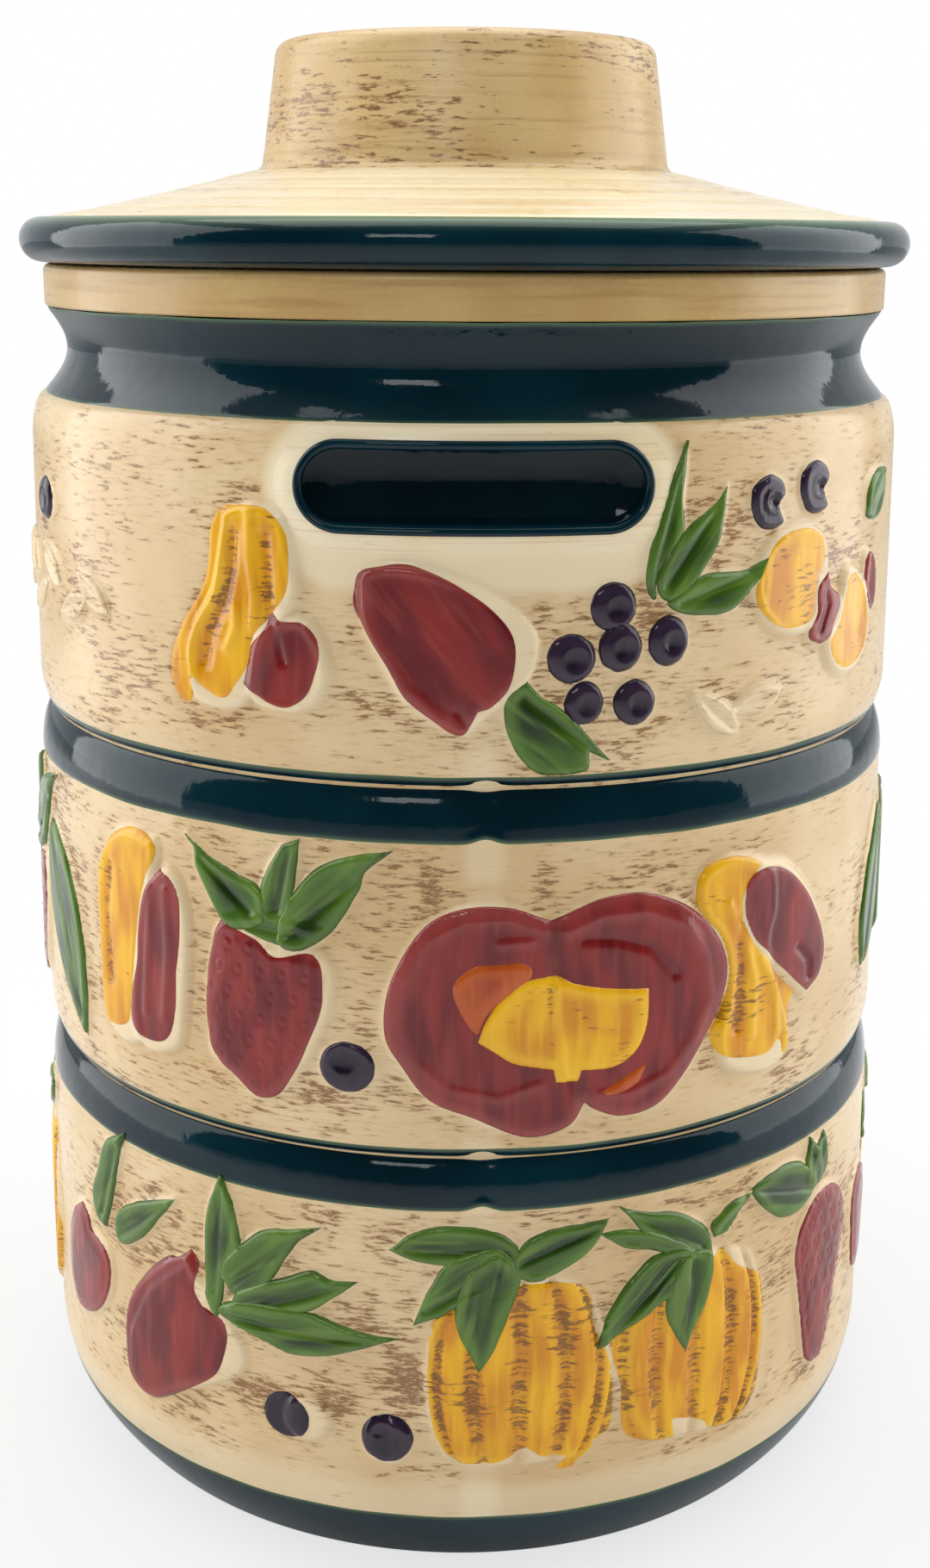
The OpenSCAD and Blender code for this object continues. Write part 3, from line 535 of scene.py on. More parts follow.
FAR_LEAVES = (
    through([(-18, 12), (-12.5, 10), (-4.5, 8), (2, 3), (3, -3.5), (-4, -1), (-11.5, 3.5), (-15, 8.5)],
            tips=(0,)),
    through([(-22, 7), (-16.5, 7), (-9.5, 5), (-1, -0.5), (-5, -1.5), (-11, 1.5), (-16.5, 3)], tips=(0,)),
    through([(-22, -18), (-20, -10.5), (-15, -3.5), (-9.5, 0.5), (-2, 0), (-4, -7.5), (-10.5, -11.5),
             (-17.5, -15.5)], tips=(0,)),
    through([(-3, -22.5), (-7.5, -14), (-7, -8), (-4, -1.5), (3, -2), (2, -11.5), (-0.5, -17.5)], tips=(0,)),
    through([(14, 7.5), (10, 4), (7, 1), (4, 0.5), (3, 3.5), (8, 7)], tips=(0, 3)),
)


# Relief


def inside_distance(x, y, loop):
    """How far points lie inside a loop. Outside it is negative."""
    found = np.full(len(x), -99.0)
    low, high = loop.min(0) - 6, loop.max(0) + 6
    near = np.flatnonzero((x > low[0]) & (x < high[0]) & (y > low[1]) & (y < high[1]))
    a, b = loop, np.roll(loop, -1, 0)
    run = b - a
    length2 = np.maximum((run ** 2).sum(1), 1e-12)
    for part in np.array_split(near, max(1, len(near) // 4000)):
        px, py = x[part, None], y[part, None]
        t = np.clip(((px - a[:, 0]) * run[:, 0] + (py - a[:, 1]) * run[:, 1]) / length2, 0, 1)
        gap = np.hypot(px - a[:, 0] - t * run[:, 0], py - a[:, 1] - t * run[:, 1]).min(1)
        crosses = ((a[:, 1] > py) != (b[:, 1] > py)) & (
            px < run[:, 0] * (py - a[:, 1]) / np.where(run[:, 1] == 0, 1e-12, run[:, 1]) + a[:, 0]
        )
        found[part] = np.where(crosses.sum(1) % 2 == 1, gap, -gap)
    return found


def line_distance(x, y, points):
    """How far points lie from an open line of chosen points."""
    line = np.array(points, float)
    gap = np.full(len(x), 99.0)
    for a, b in zip(line, line[1:]):
        run = b - a
        t = np.clip(((x - a[0]) * run[0] + (y - a[1]) * run[1]) / (run @ run), 0, 1)
        gap = np.minimum(gap, np.hypot(x - a[0] - t * run[0], y - a[1] - t * run[1]))
    return gap


def line_relief(points, width, height):
    """A rounded ridge along a line, or with a height below nothing a groove."""
    def relief(x, y):
        return height * np.exp(-((line_distance(x, y, points) / width) ** 2))
    return relief


def ribs(width, count, depth):
    """Grooves that run up a round fruit, bowed with its sides."""
    def relief(x, y):
        bow = np.sqrt(np.clip(1 - ((y + 1) / (width * 0.75)) ** 2, 0.2, 1))
        share = np.clip(x / (width / 2) / bow, -1, 1)
        turn = (np.arcsin(share) * 2 / math.pi + 1) / 2
        return -depth * np.exp(-((np.abs((turn * count + 0.5) % 1 - 0.5) / 0.17) ** 2))
    return relief


def seeds(spacing, depth):
    """Small pits in staggered rows, each with a seed in it."""
    def relief(x, y):
        row = np.round(y / spacing)
        across = x / spacing + 0.5 * (row % 2)
        dx, dy = (across - np.round(across)) * spacing, y - row * spacing
        away = np.hypot(dx * 1.25, dy)
        return depth * (0.7 * np.exp(-((away / 0.5) ** 2)) - np.exp(-(((away - 1.1) / 0.5) ** 2)))
    return relief


def dish(x0, y0, r, depth):
    """A shallow hollow with a faint lip."""
    def relief(x, y):
        away = np.hypot(x - x0, y - y0) / r
        return depth * (0.5 * np.exp(-(((away - 1.3) / 0.35) ** 2)) - np.exp(-(away ** 2)))
    return relief


class Motif:
    """One moulded and painted ornament. Its paint may sit a little off its relief, as a brush leaves it."""

    def __init__(self, node, base, place, paint, form=None, lift=FRUIT, margin=1.1, rounding=3.2, layer=0,
                 details=(), rim=0.3, grain=0.0):
        self.node = node
        self.angle, self.z = place[0], base + place[1]
        self.tilt = place[2] if len(place) > 2 else 0.0
        self.paint = paint
        self.form = form
        self.lift = lift
        self.margin = margin
        self.rounding = rounding
        self.layer = layer
        self.details = details
        self.rim = rim
        self.grain = grain

    def local(self, angles, z):
        """Places on the wall as distances across and up from this motif's place, in its own tilt."""
        off = np.radians((angles - self.angle + 90) % 180 - 90)
        across, up = wall_r(z) * np.sin(off), z - self.z
        turn = math.radians(-self.tilt)
        return across * math.cos(turn) - up * math.sin(turn), across * math.sin(turn) + up * math.cos(turn)

    def on_wall(self, x, y):
        """The angles and heights of points that are given across and up from this motif's place."""
        turn = math.radians(self.tilt)
        across = x * math.cos(turn) - y * math.sin(turn)
        z = self.z + x * math.sin(turn) + y * math.cos(turn)
        return self.angle + np.degrees(np.arcsin(np.clip(across / wall_r(z), -1, 1))), z

    def survey(self, x, y):
        """Relief height, distance inside the relief and distance inside the paint."""
        painted = inside_distance(x, y, self.paint)
        d = painted + self.margin if self.form is None else inside_distance(x, y, self.form)
        share = np.clip(d / self.rounding, 0, 1)
        raised = self.lift * (1 - (1 - share) ** 2) + self.rim * np.exp(-(((d - 1.3) / 0.8) ** 2)) * (d > 0)
        for relief in self.details:
            raised = raised + relief(x, y) * np.clip(d / 1.5, 0, 1)
        return np.where(d > 0, np.maximum(raised, 0), 0), d, painted


def survey(motifs, angles, z, layer=99):
    """The wall's relief, nearness to the foot of a relief and depth inside paint, at places on it."""
    raised, edge, deep = (np.zeros(len(angles)) for _ in range(3))
    for one in motifs:
        if one.layer > layer:
            continue
        x, y = one.local(angles, z)
        near = np.flatnonzero((np.abs(x) < MOTIF_REACH) & (np.abs(y) < MOTIF_REACH))
        height, d, painted = one.survey(x[near], y[near])
        under = raised[near]
        raised[near] = np.maximum(under, height) + UNDER_SHARE * np.minimum(under, height)
        edge[near] = np.maximum(edge[near], np.exp(-(((d + 2.0) / 1.8) ** 2)))
        deep[near] = np.maximum(deep[near], np.clip(painted, 0, 1))
    return np.minimum(raised, WIDEST_R - SPARE_T - wall_r(z)), edge, deep


# The ornaments of each tier


def leaf_group(node, base, place, loops, tips, layer=3):
    """Painted leaves that share a stem. Each has a groove for its midrib, from the stem to its tip."""
    made = []
    for k, (loop, (stem, tip)) in enumerate(zip(loops, tips)):
        grain = math.degrees(math.atan2(stem[0] - tip[0], tip[1] - stem[1]))
        made.append(Motif(
            node, base, place, loop, lift=LEAF, margin=0.6, rounding=2.0, layer=layer + k, rim=0.15,
            grain=grain, details=(line_relief([stem, tip], 0.8, -0.5),),
        ))
    return made


def upper_tier():
    """The ornaments round the upper tier."""
    base = UPPER_WAIST_Z
    made = [
        Motif("upper_yellow_fruit", base, (-27.8, 31), GOURD, GOURD_FORM, rounding=3.0, rim=0.5, details=(
            line_relief([(-2, 16.5), (-2.5, 10), (-4, 5), (-7.5, -1.5), (-9.5, -7), (-9, -14)], 0.9, 0.35),
            line_relief([(0.5, 14), (0, 8), (-1.5, 2), (-4.5, -4), (-6, -10)], 1.3, -0.8),
            line_relief([(4, 18.5), (4, 10.5), (5, 3), (4.5, -2.5)], 1.0, 0.4),
            line_relief([(7, 14), (7.5, 6), (7.5, -2)], 1.3, -0.6),
            line_relief([(1, 0.5), (1, -3), (-1, -7)], 0.8, 0.4),
        )),
        Motif("upper_yellow_fruit", base, (39.8, 35.5), MELON, MELON_FORM, rim=0.5),
        Motif("upper_yellow_fruit", base, (52.5, 25.5), SMALL_PEAR, margin=2.0, rim=0.5),
        Motif("upper_red_fruit", base, (-21.4, 23.5), PLUM, PLUM_FORM, rounding=2.4, layer=1, rim=0.5,
              details=(line_relief([(-2, 7), (-1, 3), (0, -1)], 0.7, -0.5),)),
        Motif("upper_red_fruit", base, (-4.2, 25), BIG_PEAR, BIG_PEAR_FORM, layer=1, rim=0.45, grain=38,
              details=(
                  line_relief([(-13.5, 8), (-9.5, 0), (-5, -6.5), (1, -11.5)], 1.1, 0.3),
                  line_relief([(4, -10), (6, -13)], 0.8, -0.5),
              )),
        Motif("upper_red_fruit", base, (46.6, 29), SLIVER, layer=2, details=(
            line_relief([(-0.5, 4), (1, 0), (-1.5, -5)], 0.8, -0.5),
        )),
        Motif("upper_red_fruit", base, (59, 31, 8), oval(6, 12), layer=2),
    ]
    berries = (
        (15.7, 33.1, 8.8, 8.9), (16.6, 25.7, 8.4, 8.9), (22.5, 26.3, 8.2, 9.3), (10.9, 24.1, 9.0, 9.0),
        (12.4, 15.9, 7.4, 7.9), (18.4, 15.5, 8.2, 8.4), (-66, 45.6, 8.6, 8.6),
    )
    for k, (angle, up, w, h) in enumerate(berries):
        made.append(Motif(
            "upper_berries", base, (angle, up), oval(w, h), lift=LEAF, margin=0.4, rounding=3.6,
            layer=2 + k % 3, rim=0.1, details=(dish(0.8, -0.4, 2.0, 0.45),),
        ))
    for place in ((35.8, 49.9), (44, 51.7)):
        made.append(Motif(
            "upper_berries", base, place, BEAN, lift=LEAF, margin=0.5, rounding=3, layer=2,
            details=(dish(1.2, 0.2, 1.4, 0.6),),
        ))
    made += leaf_group("upper_leaves", base, (5, 18.5), [LOW_LEAF], [((1, -1), (14, -11.5))])
    made += leaf_group(
        "upper_leaves", base, (22.5, 33), [TALL_LEAF, SIDE_LEAF, FLAT_LEAF],
        [((-3.5, 3), (2.5, 27)), ((-1, 3), (10.5, 18.5)), ((2, 0), (18, 4.5))],
    )
    made += leaf_group(
        "upper_leaves", base, (57.5, 44, -52), [leaf(14, 9)], [((0, 1), (0, 12))])
    for angle, up, direction in (
        (-52, 30, 60), (-57, 26, 110), (-64, 33, 55), (-70, 25, 120), (-77, 33, 60), (-84, 26, 115),
        (-91, 33, 65), (29, 12, 50), (35, 13, 100),
    ):
        loop = leaf(14, 5.5) - np.array([0, 7])
        made.append(Motif(
            "plain_leaves", base, (angle, up, direction), loop, lift=PLAIN, margin=0.6, rounding=1.6,
            rim=0.25, details=(line_relief([(0, -6), (0, 5)], 0.8, -0.45),),
        ))
    return made


def strawberry(node, base, place, paint, form):
    """A fruit with seeds all over it."""
    return Motif(node, base, place, paint, form, rounding=5, layer=1, details=(seeds(4.6, 0.17),), rim=0.35)


def middle_tier():
    """The ornaments round the middle tier."""
    base = LOWER_WAIST_Z
    made = [
        Motif("middle_yellow_fruit", base, (-46.2, 37.5), BANANA, BANANA_FORM, rim=0.4, details=(
            line_relief([(-4, 12), (-5.5, 2), (-4.5, -12)], 1.2, -0.5),
        )),
        Motif("middle_yellow_fruit", base, (34.6, 35.2), YELLOW_PEAR, YELLOW_PEAR_FORM, rim=0.5, details=(
            line_relief([(-5, 12), (-1, 4), (2, -4), (2, -16)], 1.0, 0.4),
            line_relief([(4, -1), (8, -8), (9, -17)], 1.0, 0.4),
            line_relief([(-2, 8), (-1, -2), (-2, -14)], 1.2, -0.6),
        )),
        Motif("middle_red_fruit", base, (-40.2, 33.8), PEPPER, PEPPER_FORM, layer=1, rim=0.4, details=(
            line_relief([(-1, 14), (-2, 2), (-3, -12)], 1.0, 0.35),
            line_relief([(3, 14), (3.5, 2), (2, -12)], 1.0, 0.3),
        )),
        Motif("middle_red_fruit", base, (41.4, 40), RED_PLUM, layer=1, margin=1.8, rim=0.4, details=(
            line_relief([(4, -6), (8, -10), (8, -13)], 0.9, -0.6),
        )),
        Motif("middle_split_fruit", base, (10.6, 29.5), SPLIT, rounding=4, layer=1, margin=1.0, rim=0.2,
              details=(
                  line_relief(SPLIT_RIDGES[0], 1.3, 0.45), line_relief(SPLIT_RIDGES[1], 1.3, 0.35),
                  line_relief([(-2.5, 19), (-2, 12), (-1.5, 8)], 1.6, -0.8),
                  line_relief([(4.5, -18), (2.5, -14), (1, -11)], 1.4, -0.8),
                  line_relief([(4, 15), (10, 14.5), (17, 12), (22, 6)], 1.2, -0.5),
                  line_relief([(-6, 15), (-12, 14.5)], 1.0, 0.35),
              )),
        Motif("middle_split_fruit", base, (10.6, 26.5), CORE_BLUSH, margin=0.1, layer=2, rim=0.2),
        Motif("middle_split_fruit", base, (10.6, 26.5), LOW_BLUSH, margin=0.1, layer=2, rim=0.2),
        Motif("middle_fruit_cores", base, (10.6, 26.5), CORE, lift=1.2, margin=0.2, rounding=3, layer=3,
              details=(
                  line_relief([(-1.5, 10), (-1, 0), (0.5, -10)], 0.7, 0.45),
                  line_relief([(-2.8, 8), (-2.4, -5)], 0.6, -0.35),
                  line_relief([(2, 5), (6, 0), (12, -1.5)], 1.0, -0.35),
              )),
        Motif("middle_berries", base, (-14.3, 18.7), oval(10.8, 10), lift=LEAF, margin=0.8, rounding=3.6,
              layer=2, details=(dish(-0.6, 1.6, 2.4, 0.4),)),
    ]
    for angle in (-24.8, 99):
        made.append(strawberry("middle_strawberries", base, (angle, 26.6), STRAWBERRY, STRAWBERRY_FORM))
        made += leaf_group(
            "middle_leaves", base, (angle + 0.6, 42), CROWN,
            [((-4, 2), (8, 2)), ((2.5, 6), (5, 18)), ((-3, 5), (-16, 16)), ((5, 2), (22, 17))])
    made += leaf_group("middle_leaves", base, (-68, 51, -156), [leaf(46, 17)], [((0, 1), (0, 42))])
    made += leaf_group("middle_leaves", base, (64, 20, -20), [leaf(36, 13)], [((0, 1), (0, 33))])
    made += leaf_group("middle_leaves", base, (76, 22, -16), [leaf(34, 13)], [((0, 1), (0, 31))])
    return made


def lower_tier():
    """The ornaments round the lower tier."""
    base = BASE_Z
    made = []
    for angle, paint, form in (
        (6, PUMPKIN, PUMPKIN_FORM), (28.6, FAR_PUMPKIN, FAR_PUMPKIN_FORM), (94, PUMPKIN, PUMPKIN_FORM),
    ):
        made.append(Motif("lower_pumpkins", base, (angle, 24), paint, form, rounding=5, rim=0.3,
                          details=(ribs(37, 6, 0.9),)))
    made += [
        Motif("lower_red_fruit", base, (-58, 25), SMALL_RED, rounding=5, layer=1),
        Motif("lower_red_fruit", base, (-39.2, 21.5), ROUND_RED, ROUND_RED_FORM, rounding=5, layer=1, rim=0.4,
              details=(line_relief([(3, 17), (-7, 8), (-14, -5)], 1.0, -0.35),)),
        Motif("lower_red_fruit", base, (69, 26.5, -4), pear(5, 7.2, 24), rounding=5, layer=1),
        strawberry("lower_strawberries", base, (53.2, 24.5, -4), pear(5, 11.5, 40), None),
    ]
    for place, shift, hollow in (((-22.4, 11), (4.5, 0.5), (-1, 1)), ((-9.7, 9.6), (0, -1), (-1.5, 2.5))):
        made.append(Motif(
            "lower_berries", base, place, oval(10.4, 9.8), oval(11, 11) + np.array(shift), lift=LEAF,
            rounding=3.4, layer=2, details=(dish(*hollow, 2.2, 0.4),)))
    made += leaf_group("lower_leaves", base, (-52.5, 36.5), PAIR_LEAVES,
                       [((-2, 3), (5, 20)), ((6, 1), (20, 12.5))])
    made += leaf_group("lower_leaves", base, (-34, 33), PALM_LEAVES, [
        ((3, 2), (4.8, 24)), ((7, 4), (24, 18.5)), ((9, -1), (30, 8.5)), ((6, -3), (36, -2.5))])
    for angle in (6, 94):
        made += leaf_group("lower_leaves", base, (angle, 50), PUMPKIN_LEAVES, [
            ((-2, 0), (-22, 0.8)), ((0, -2), (15, 4)), ((-3, -2), (-18, -12)), ((-4, -3), (-7.5, -22))])
    made += leaf_group("lower_leaves", base, (29, 45.5), FAR_LEAVES, [
        ((1, 0), (-15, 10)), ((-3, 0), (-19, 5.5)), ((-4, -1), (-19, -15)), ((-1, -3), (-3.5, -19)),
        ((4.5, 1), (12, 6.5))])
    for direction, length, width in ((72, 23, 12), (-20, 12, 8), (8, 12, 7)):
        made += leaf_group("lower_leaves", base, (50.5, 46.5, direction), [leaf(length, width)],
                           [((0, 1), (0, length - 2))])
    return made


TIERS = {"upper_wall": upper_tier(), "middle_wall": middle_tier(), "lower_wall": lower_tier()}
TIER_FLOOR = {"upper_wall": UPPER_WAIST_Z + 3, "middle_wall": LOWER_WAIST_Z + 3, "lower_wall": BASE_Z - 4}
TIER_CEILING = {"upper_wall": SHOULDER_Z + 6, "middle_wall": UPPER_RING_Z, "lower_wall": LOWER_RING_Z}

# Where the wiped stain stayed thickest: angle, height, half width and half height in mm, strength
STAINED = {
    "upper_wall": (
        (7.5, 200, 2.5, 8, 1.0), (-12, 206, 3, 6, 0.6), (-46, 184, 12, 10, 0.5), (40, 182, 16, 6, 0.5),
        (60, 190, 12, 14, 0.5), (-15, 182, 14, 5, 0.35), (-36, 222, 10, 6, 0.3),
    ),
    "middle_wall": (
        (-11.5, 133, 5, 9, 1.0), (-12.5, 120, 3, 9, 1.0), (-5, 149, 2.4, 6, 1.2), (8, 149, 2.4, 6, 1.2),
        (-11, 146, 8, 7, 0.7), (24, 150, 16, 5, 0.5), (-33, 128, 3, 12, 0.5), (52, 122, 5, 14, 0.5),
    ),
    "lower_wall": (
        (-7.5, 48, 5, 16, 1.1), (-16, 38, 5, 5, 1.1), (-26, 40, 9, 5, 0.9), (-14, 58, 9, 8, 0.8),
        (18, 62, 4, 9, 0.8), (-47, 55, 4, 10, 0.5), (-45, 72, 8, 6, 0.5), (-48, 38, 4, 8, 0.7),
        (42, 58, 4, 12, 0.4),
    ),
}


# Materials


def screen(red, green, blue):
    """A colour as it looks on screen, from 0 to 255, in the shader's own linear values."""
    def linear(c):
        return c / 12.92 if c <= 0.04045 else ((c + 0.055) / 1.055) ** 2.4
    return (*(linear(c / 255) for c in (red, green, blue)), 1.0)


def add(tree, kind, **values):
    """A node, with its own settings and its inputs' values. Input names have _ for a space."""
    node = tree.nodes.new("ShaderNode" + kind)
    for name, value in values.items():
        if hasattr(node, name):
            setattr(node, name, value)
        else:
            node.inputs[name.replace("_", " ")].default_value = value
    return node


def maths(tree, operation, a, b=None, clamp=False):
    """The result of one sum. Each side is a socket or a number."""
    node = tree.nodes.new("ShaderNodeMath")
    node.operation = operation
    node.use_clamp = clamp
    for k, side in enumerate((a, b)):
        if isinstance(side, bpy.types.NodeSocket):
            tree.links.new(side, node.inputs[k])
        elif side is not None:
            node.inputs[k].default_value = side
    return node.outputs[0]


def ramp(tree, source, start, end, low=0.0, high=1.0):
    """A socket's value, mapped smoothly from start..end to low..high."""
    node = add(tree, "MapRange", interpolation_type="SMOOTHSTEP")
    tree.links.new(source, node.inputs["Value"])
    node.inputs["From Min"].default_value = start
    node.inputs["From Max"].default_value = end
    node.inputs["To Min"].default_value = low
    node.inputs["To Max"].default_value = high
    return node.outputs[0]


def mixed(tree, share, a, b):
    """Two colours mixed. Each is a socket or a colour."""
    node = tree.nodes.new("ShaderNodeMix")
    node.data_type = "RGBA"
    for name, side in (("Factor_Float", share), ("A_Color", a), ("B_Color", b)):
        socket = next(s for s in node.inputs if s.identifier == name)
        if isinstance(side, bpy.types.NodeSocket):
            tree.links.new(side, socket)
        else:
            socket.default_value = side
    return next(s for s in node.outputs if s.identifier == "Result_Color")


def noise(tree, place, scale, detail=2.0, roughness=0.5, stretch=None):
    """Noise at a place. Scale is in turns a metre, and stretch scales each axis of the place first."""
    if stretch is not None:
        spread = add(tree, "VectorMath", operation="MULTIPLY")
        tree.links.new(place, spread.inputs[0])
        spread.inputs[1].default_value = stretch
        place = spread.outputs[0]
    node = add(tree, "TexNoise", Scale=scale, Detail=detail, Roughness=roughness)
    tree.links.new(place, node.inputs["Vector"])
    return node.outputs["Fac"]


def group(name, inputs, outputs):
    """An empty node group with named sockets, its input node and its output node."""
    tree = bpy.data.node_groups.new(name, "ShaderNodeTree")
    for label, kind, value in inputs:
        socket = tree.interface.new_socket(label, in_out="INPUT", socket_type="NodeSocket" + kind)
        if value is not None:
            socket.default_value = value
    for label, kind in outputs:
        tree.interface.new_socket(label, in_out="OUTPUT", socket_type="NodeSocket" + kind)
    return tree, tree.nodes.new("NodeGroupInput"), tree.nodes.new("NodeGroupOutput")


def placed(tree, shared, **values):
    """A node group set into a material, with its inputs' values or sockets."""
    node = tree.nodes.new("ShaderNodeGroup")
    node.node_tree = shared
    for name, value in values.items():
        socket = node.inputs[name.replace("_", " ")]
        if isinstance(value, bpy.types.NodeSocket):
            tree.links.new(value, socket)
        else:
            socket.default_value = value
    return node


def wiped_stain_group():
    """Brown stain that was wiped off along the wheel's turn: short level dashes, denser where it is thick."""
    tree, given, out = group(
        "wiped_stain",
        (("Amount", "Float", 0.5), ("Thick", "Float", 0.0)),
        (("Mask", "Float"), ("Haze", "Float")),
    )
    place = add(tree, "TexCoord").outputs["Object"]
    dashes = noise(tree, place, 1.0, 3.0, 0.6, (240, 240, 1350))
    patches = noise(tree, place, 1.0, 2.0, 0.5, (42, 42, 80))
    fine = noise(tree, place, 1.0, 4.0, 0.7, (600, 600, 2000))
    thick = maths(tree, "MULTIPLY", given.outputs["Thick"], 0.20)
    reach = maths(tree, "ADD", maths(tree, "MULTIPLY", given.outputs["Amount"], 0.14), thick)
    spread = maths(tree, "MULTIPLY", maths(tree, "SUBTRACT", patches, 0.5), 0.55)
    depth = maths(tree, "ADD", maths(tree, "ADD", dashes, spread), reach)
    core = ramp(tree, depth, 0.66, 0.76)
    worn = ramp(tree, fine, 0.34, 0.52)
    tree.links.new(maths(tree, "MULTIPLY", core, worn), out.inputs["Mask"])
    tree.links.new(ramp(tree, depth, 0.48, 0.80), out.inputs["Haze"])
    return tree


def brush_group():
    """Strokes of a soft brush along the second axis of a place that is given in millimetres."""
    tree, given, out = group(
        "brush_strokes",
        (("Place", "Vector", None),),
        (("Tone", "Float"), ("Streak", "Float")),
    )
    broad = noise(tree, given.outputs["Place"], 1.0, 1.0, 0.4, (0.20, 0.06, 0.5))
    thin = noise(tree, given.outputs["Place"], 1.0, 1.5, 0.45, (0.55, 0.07, 0.5))
    tree.links.new(ramp(tree, broad, 0.34, 0.66), out.inputs["Tone"])
    tree.links.new(ramp(tree, thin, 0.45, 0.72), out.inputs["Streak"])
    return tree


def glaze_group():
    """The uneven skin of a poured glaze: a slow ripple as a normal, and its roughness."""
    tree, given, out = group(
        "poured_glaze",
        (("Ripple", "Float", 0.3), ("Gloss", "Float", 0.12), ("Strokes", "Float", 0.0)),
        (("Normal", "Vector"), ("Roughness", "Float")),
    )
    place = add(tree, "TexCoord").outputs["Object"]
    slow = noise(tree, place, 70.0, 2.0, 0.5)
    small = noise(tree, place, 420.0, 2.0, 0.5)
    bump = add(tree, "Bump", Distance=0.0006)
    tree.links.new(given.outputs["Ripple"], bump.inputs["Strength"])
    height = maths(tree, "ADD", slow, maths(tree, "MULTIPLY", small, 0.18))
    height = maths(tree, "ADD", height, maths(tree, "MULTIPLY", given.outputs["Strokes"], 0.12))
    tree.links.new(height, bump.inputs["Height"])
    tree.links.new(bump.outputs["Normal"], out.inputs["Normal"])
    uneven = maths(tree, "MULTIPLY", ramp(tree, small, 0.3, 0.7), 0.06)
    tree.links.new(maths(tree, "ADD", given.outputs["Gloss"], uneven), out.inputs["Roughness"])
    return tree


STAIN = wiped_stain_group()
BRUSH = brush_group()
GLAZE = glaze_group()


def new_material(name):
    """A material, its tree and its shader."""
    material = bpy.data.materials.new(name)
    material.use_nodes = True
    tree = material.node_tree
    shader = next(n for n in tree.nodes if n.type == "BSDF_PRINCIPLED")
    return material, tree, shader


def glazed(tree, shader, ripple, gloss, strokes=0.0):
    """Gives a shader the poured glaze's skin."""
    skin = placed(tree, GLAZE, Ripple=ripple, Gloss=gloss, Strokes=strokes)
    tree.links.new(skin.outputs["Normal"], shader.inputs["Normal"])
    tree.links.new(skin.outputs["Roughness"], shader.inputs["Roughness"])


def attribute(tree, name, output):
    """What the mesh holds under a name."""
    return add(tree, "Attribute", attribute_name=name).outputs[output]


def cream_material(name, amount, moulded, pale=False):
    """Cream glaze over wiped brown stain. If moulded, the mesh says where stain is thick and relief high."""
    material, tree, shader = new_material(name)
    place = add(tree, "TexCoord").outputs["Object"]
    stain = placed(tree, STAIN, Amount=amount)
    light, deep = screen(232, 205, 160), screen(218, 186, 136)
    if pale:
        light, deep = screen(246, 232, 198), screen(240, 220, 176)
    pool = ramp(tree, noise(tree, place, 28.0, 2.0, 0.5), 0.35, 0.68)
    cream = mixed(tree, pool, light, deep)
    if moulded:
        thick = attribute(tree, "stain_thickness", "Fac")
        tree.links.new(thick, stain.inputs["Thick"])
        # Raised relief is painted a lighter cream: partly the glaze thinning over it, partly a painted
        # highlight.
        raised = maths(tree, "MULTIPLY", attribute(tree, "relief_height_highlight", "Fac"), 0.5)
        wiped_clean = maths(tree, "MULTIPLY", thick, -0.75, True)
        cream = mixed(tree, maths(tree, "MAXIMUM", raised, wiped_clean, True), cream, screen(244, 226, 188))
    haze = maths(tree, "MULTIPLY", stain.outputs["Haze"], 0.5)
    hazed = mixed(tree, haze, cream, screen(192, 154, 96))
    if pale:
        turned_lines = ramp(tree, noise(tree, place, 1.0, 2.0, 0.5, (20, 20, 1500)), 0.52, 0.72)
        hazed = mixed(tree, maths(tree, "MULTIPLY", turned_lines, 0.3), hazed, screen(206, 160, 118))
    shade = maths(tree, "MULTIPLY", stain.outputs["Mask"], 0.82)
    tree.links.new(mixed(tree, shade, hazed, screen(128, 80, 42)), shader.inputs["Base Color"])
    glazed(tree, shader, 0.25, 0.2)
    return material


def tan_material(name, amount, light, deep):
    """Tan glaze with brown streaks along the wheel's turn."""
    material, tree, shader = new_material(name)
    place = add(tree, "TexCoord").outputs["Object"]
    stain = placed(tree, STAIN, Amount=amount)
    if amount > 0:
        tree.links.new(attribute(tree, "stain_thickness", "Fac"), stain.inputs["Thick"])
    pool = ramp(tree, noise(tree, place, 40.0, 2.0, 0.5), 0.35, 0.68)
    tan = mixed(tree, pool, light, deep)
    lines = noise(tree, place, 1.0, 3.0, 0.6, (30, 30, 900))
    turned_lines = maths(tree, "MULTIPLY", ramp(tree, lines, 0.48, 0.70), 0.45)
    lined = mixed(tree, turned_lines, tan, screen(160, 122, 70))
    shade = maths(tree, "MULTIPLY", stain.outputs["Mask"], 0.85)
    tree.links.new(mixed(tree, shade, lined, screen(122, 74, 42)), shader.inputs["Base Color"])
    glazed(tree, shader, 0.3, 0.24)
    return material


def teal_material():
    """Deep blue-green glaze, thinner and greener where it breaks over an edge."""
    material, tree, shader = new_material("teal_glaze")
    place = add(tree, "TexCoord").outputs["Object"]
    pool = ramp(tree, noise(tree, place, 32.0, 3.0, 0.5), 0.35, 0.68)
    deep = mixed(tree, pool, screen(4, 30, 40), screen(6, 43, 52))
    shader.inputs["Specular IOR Level"].default_value = 0.3
    thin = attribute(tree, "thin_glaze", "Fac")
    tree.links.new(mixed(tree, thin, deep, screen(124, 156, 108)), shader.inputs["Base Color"])
    glazed(tree, shader, 0.35, 0.05)
    return material


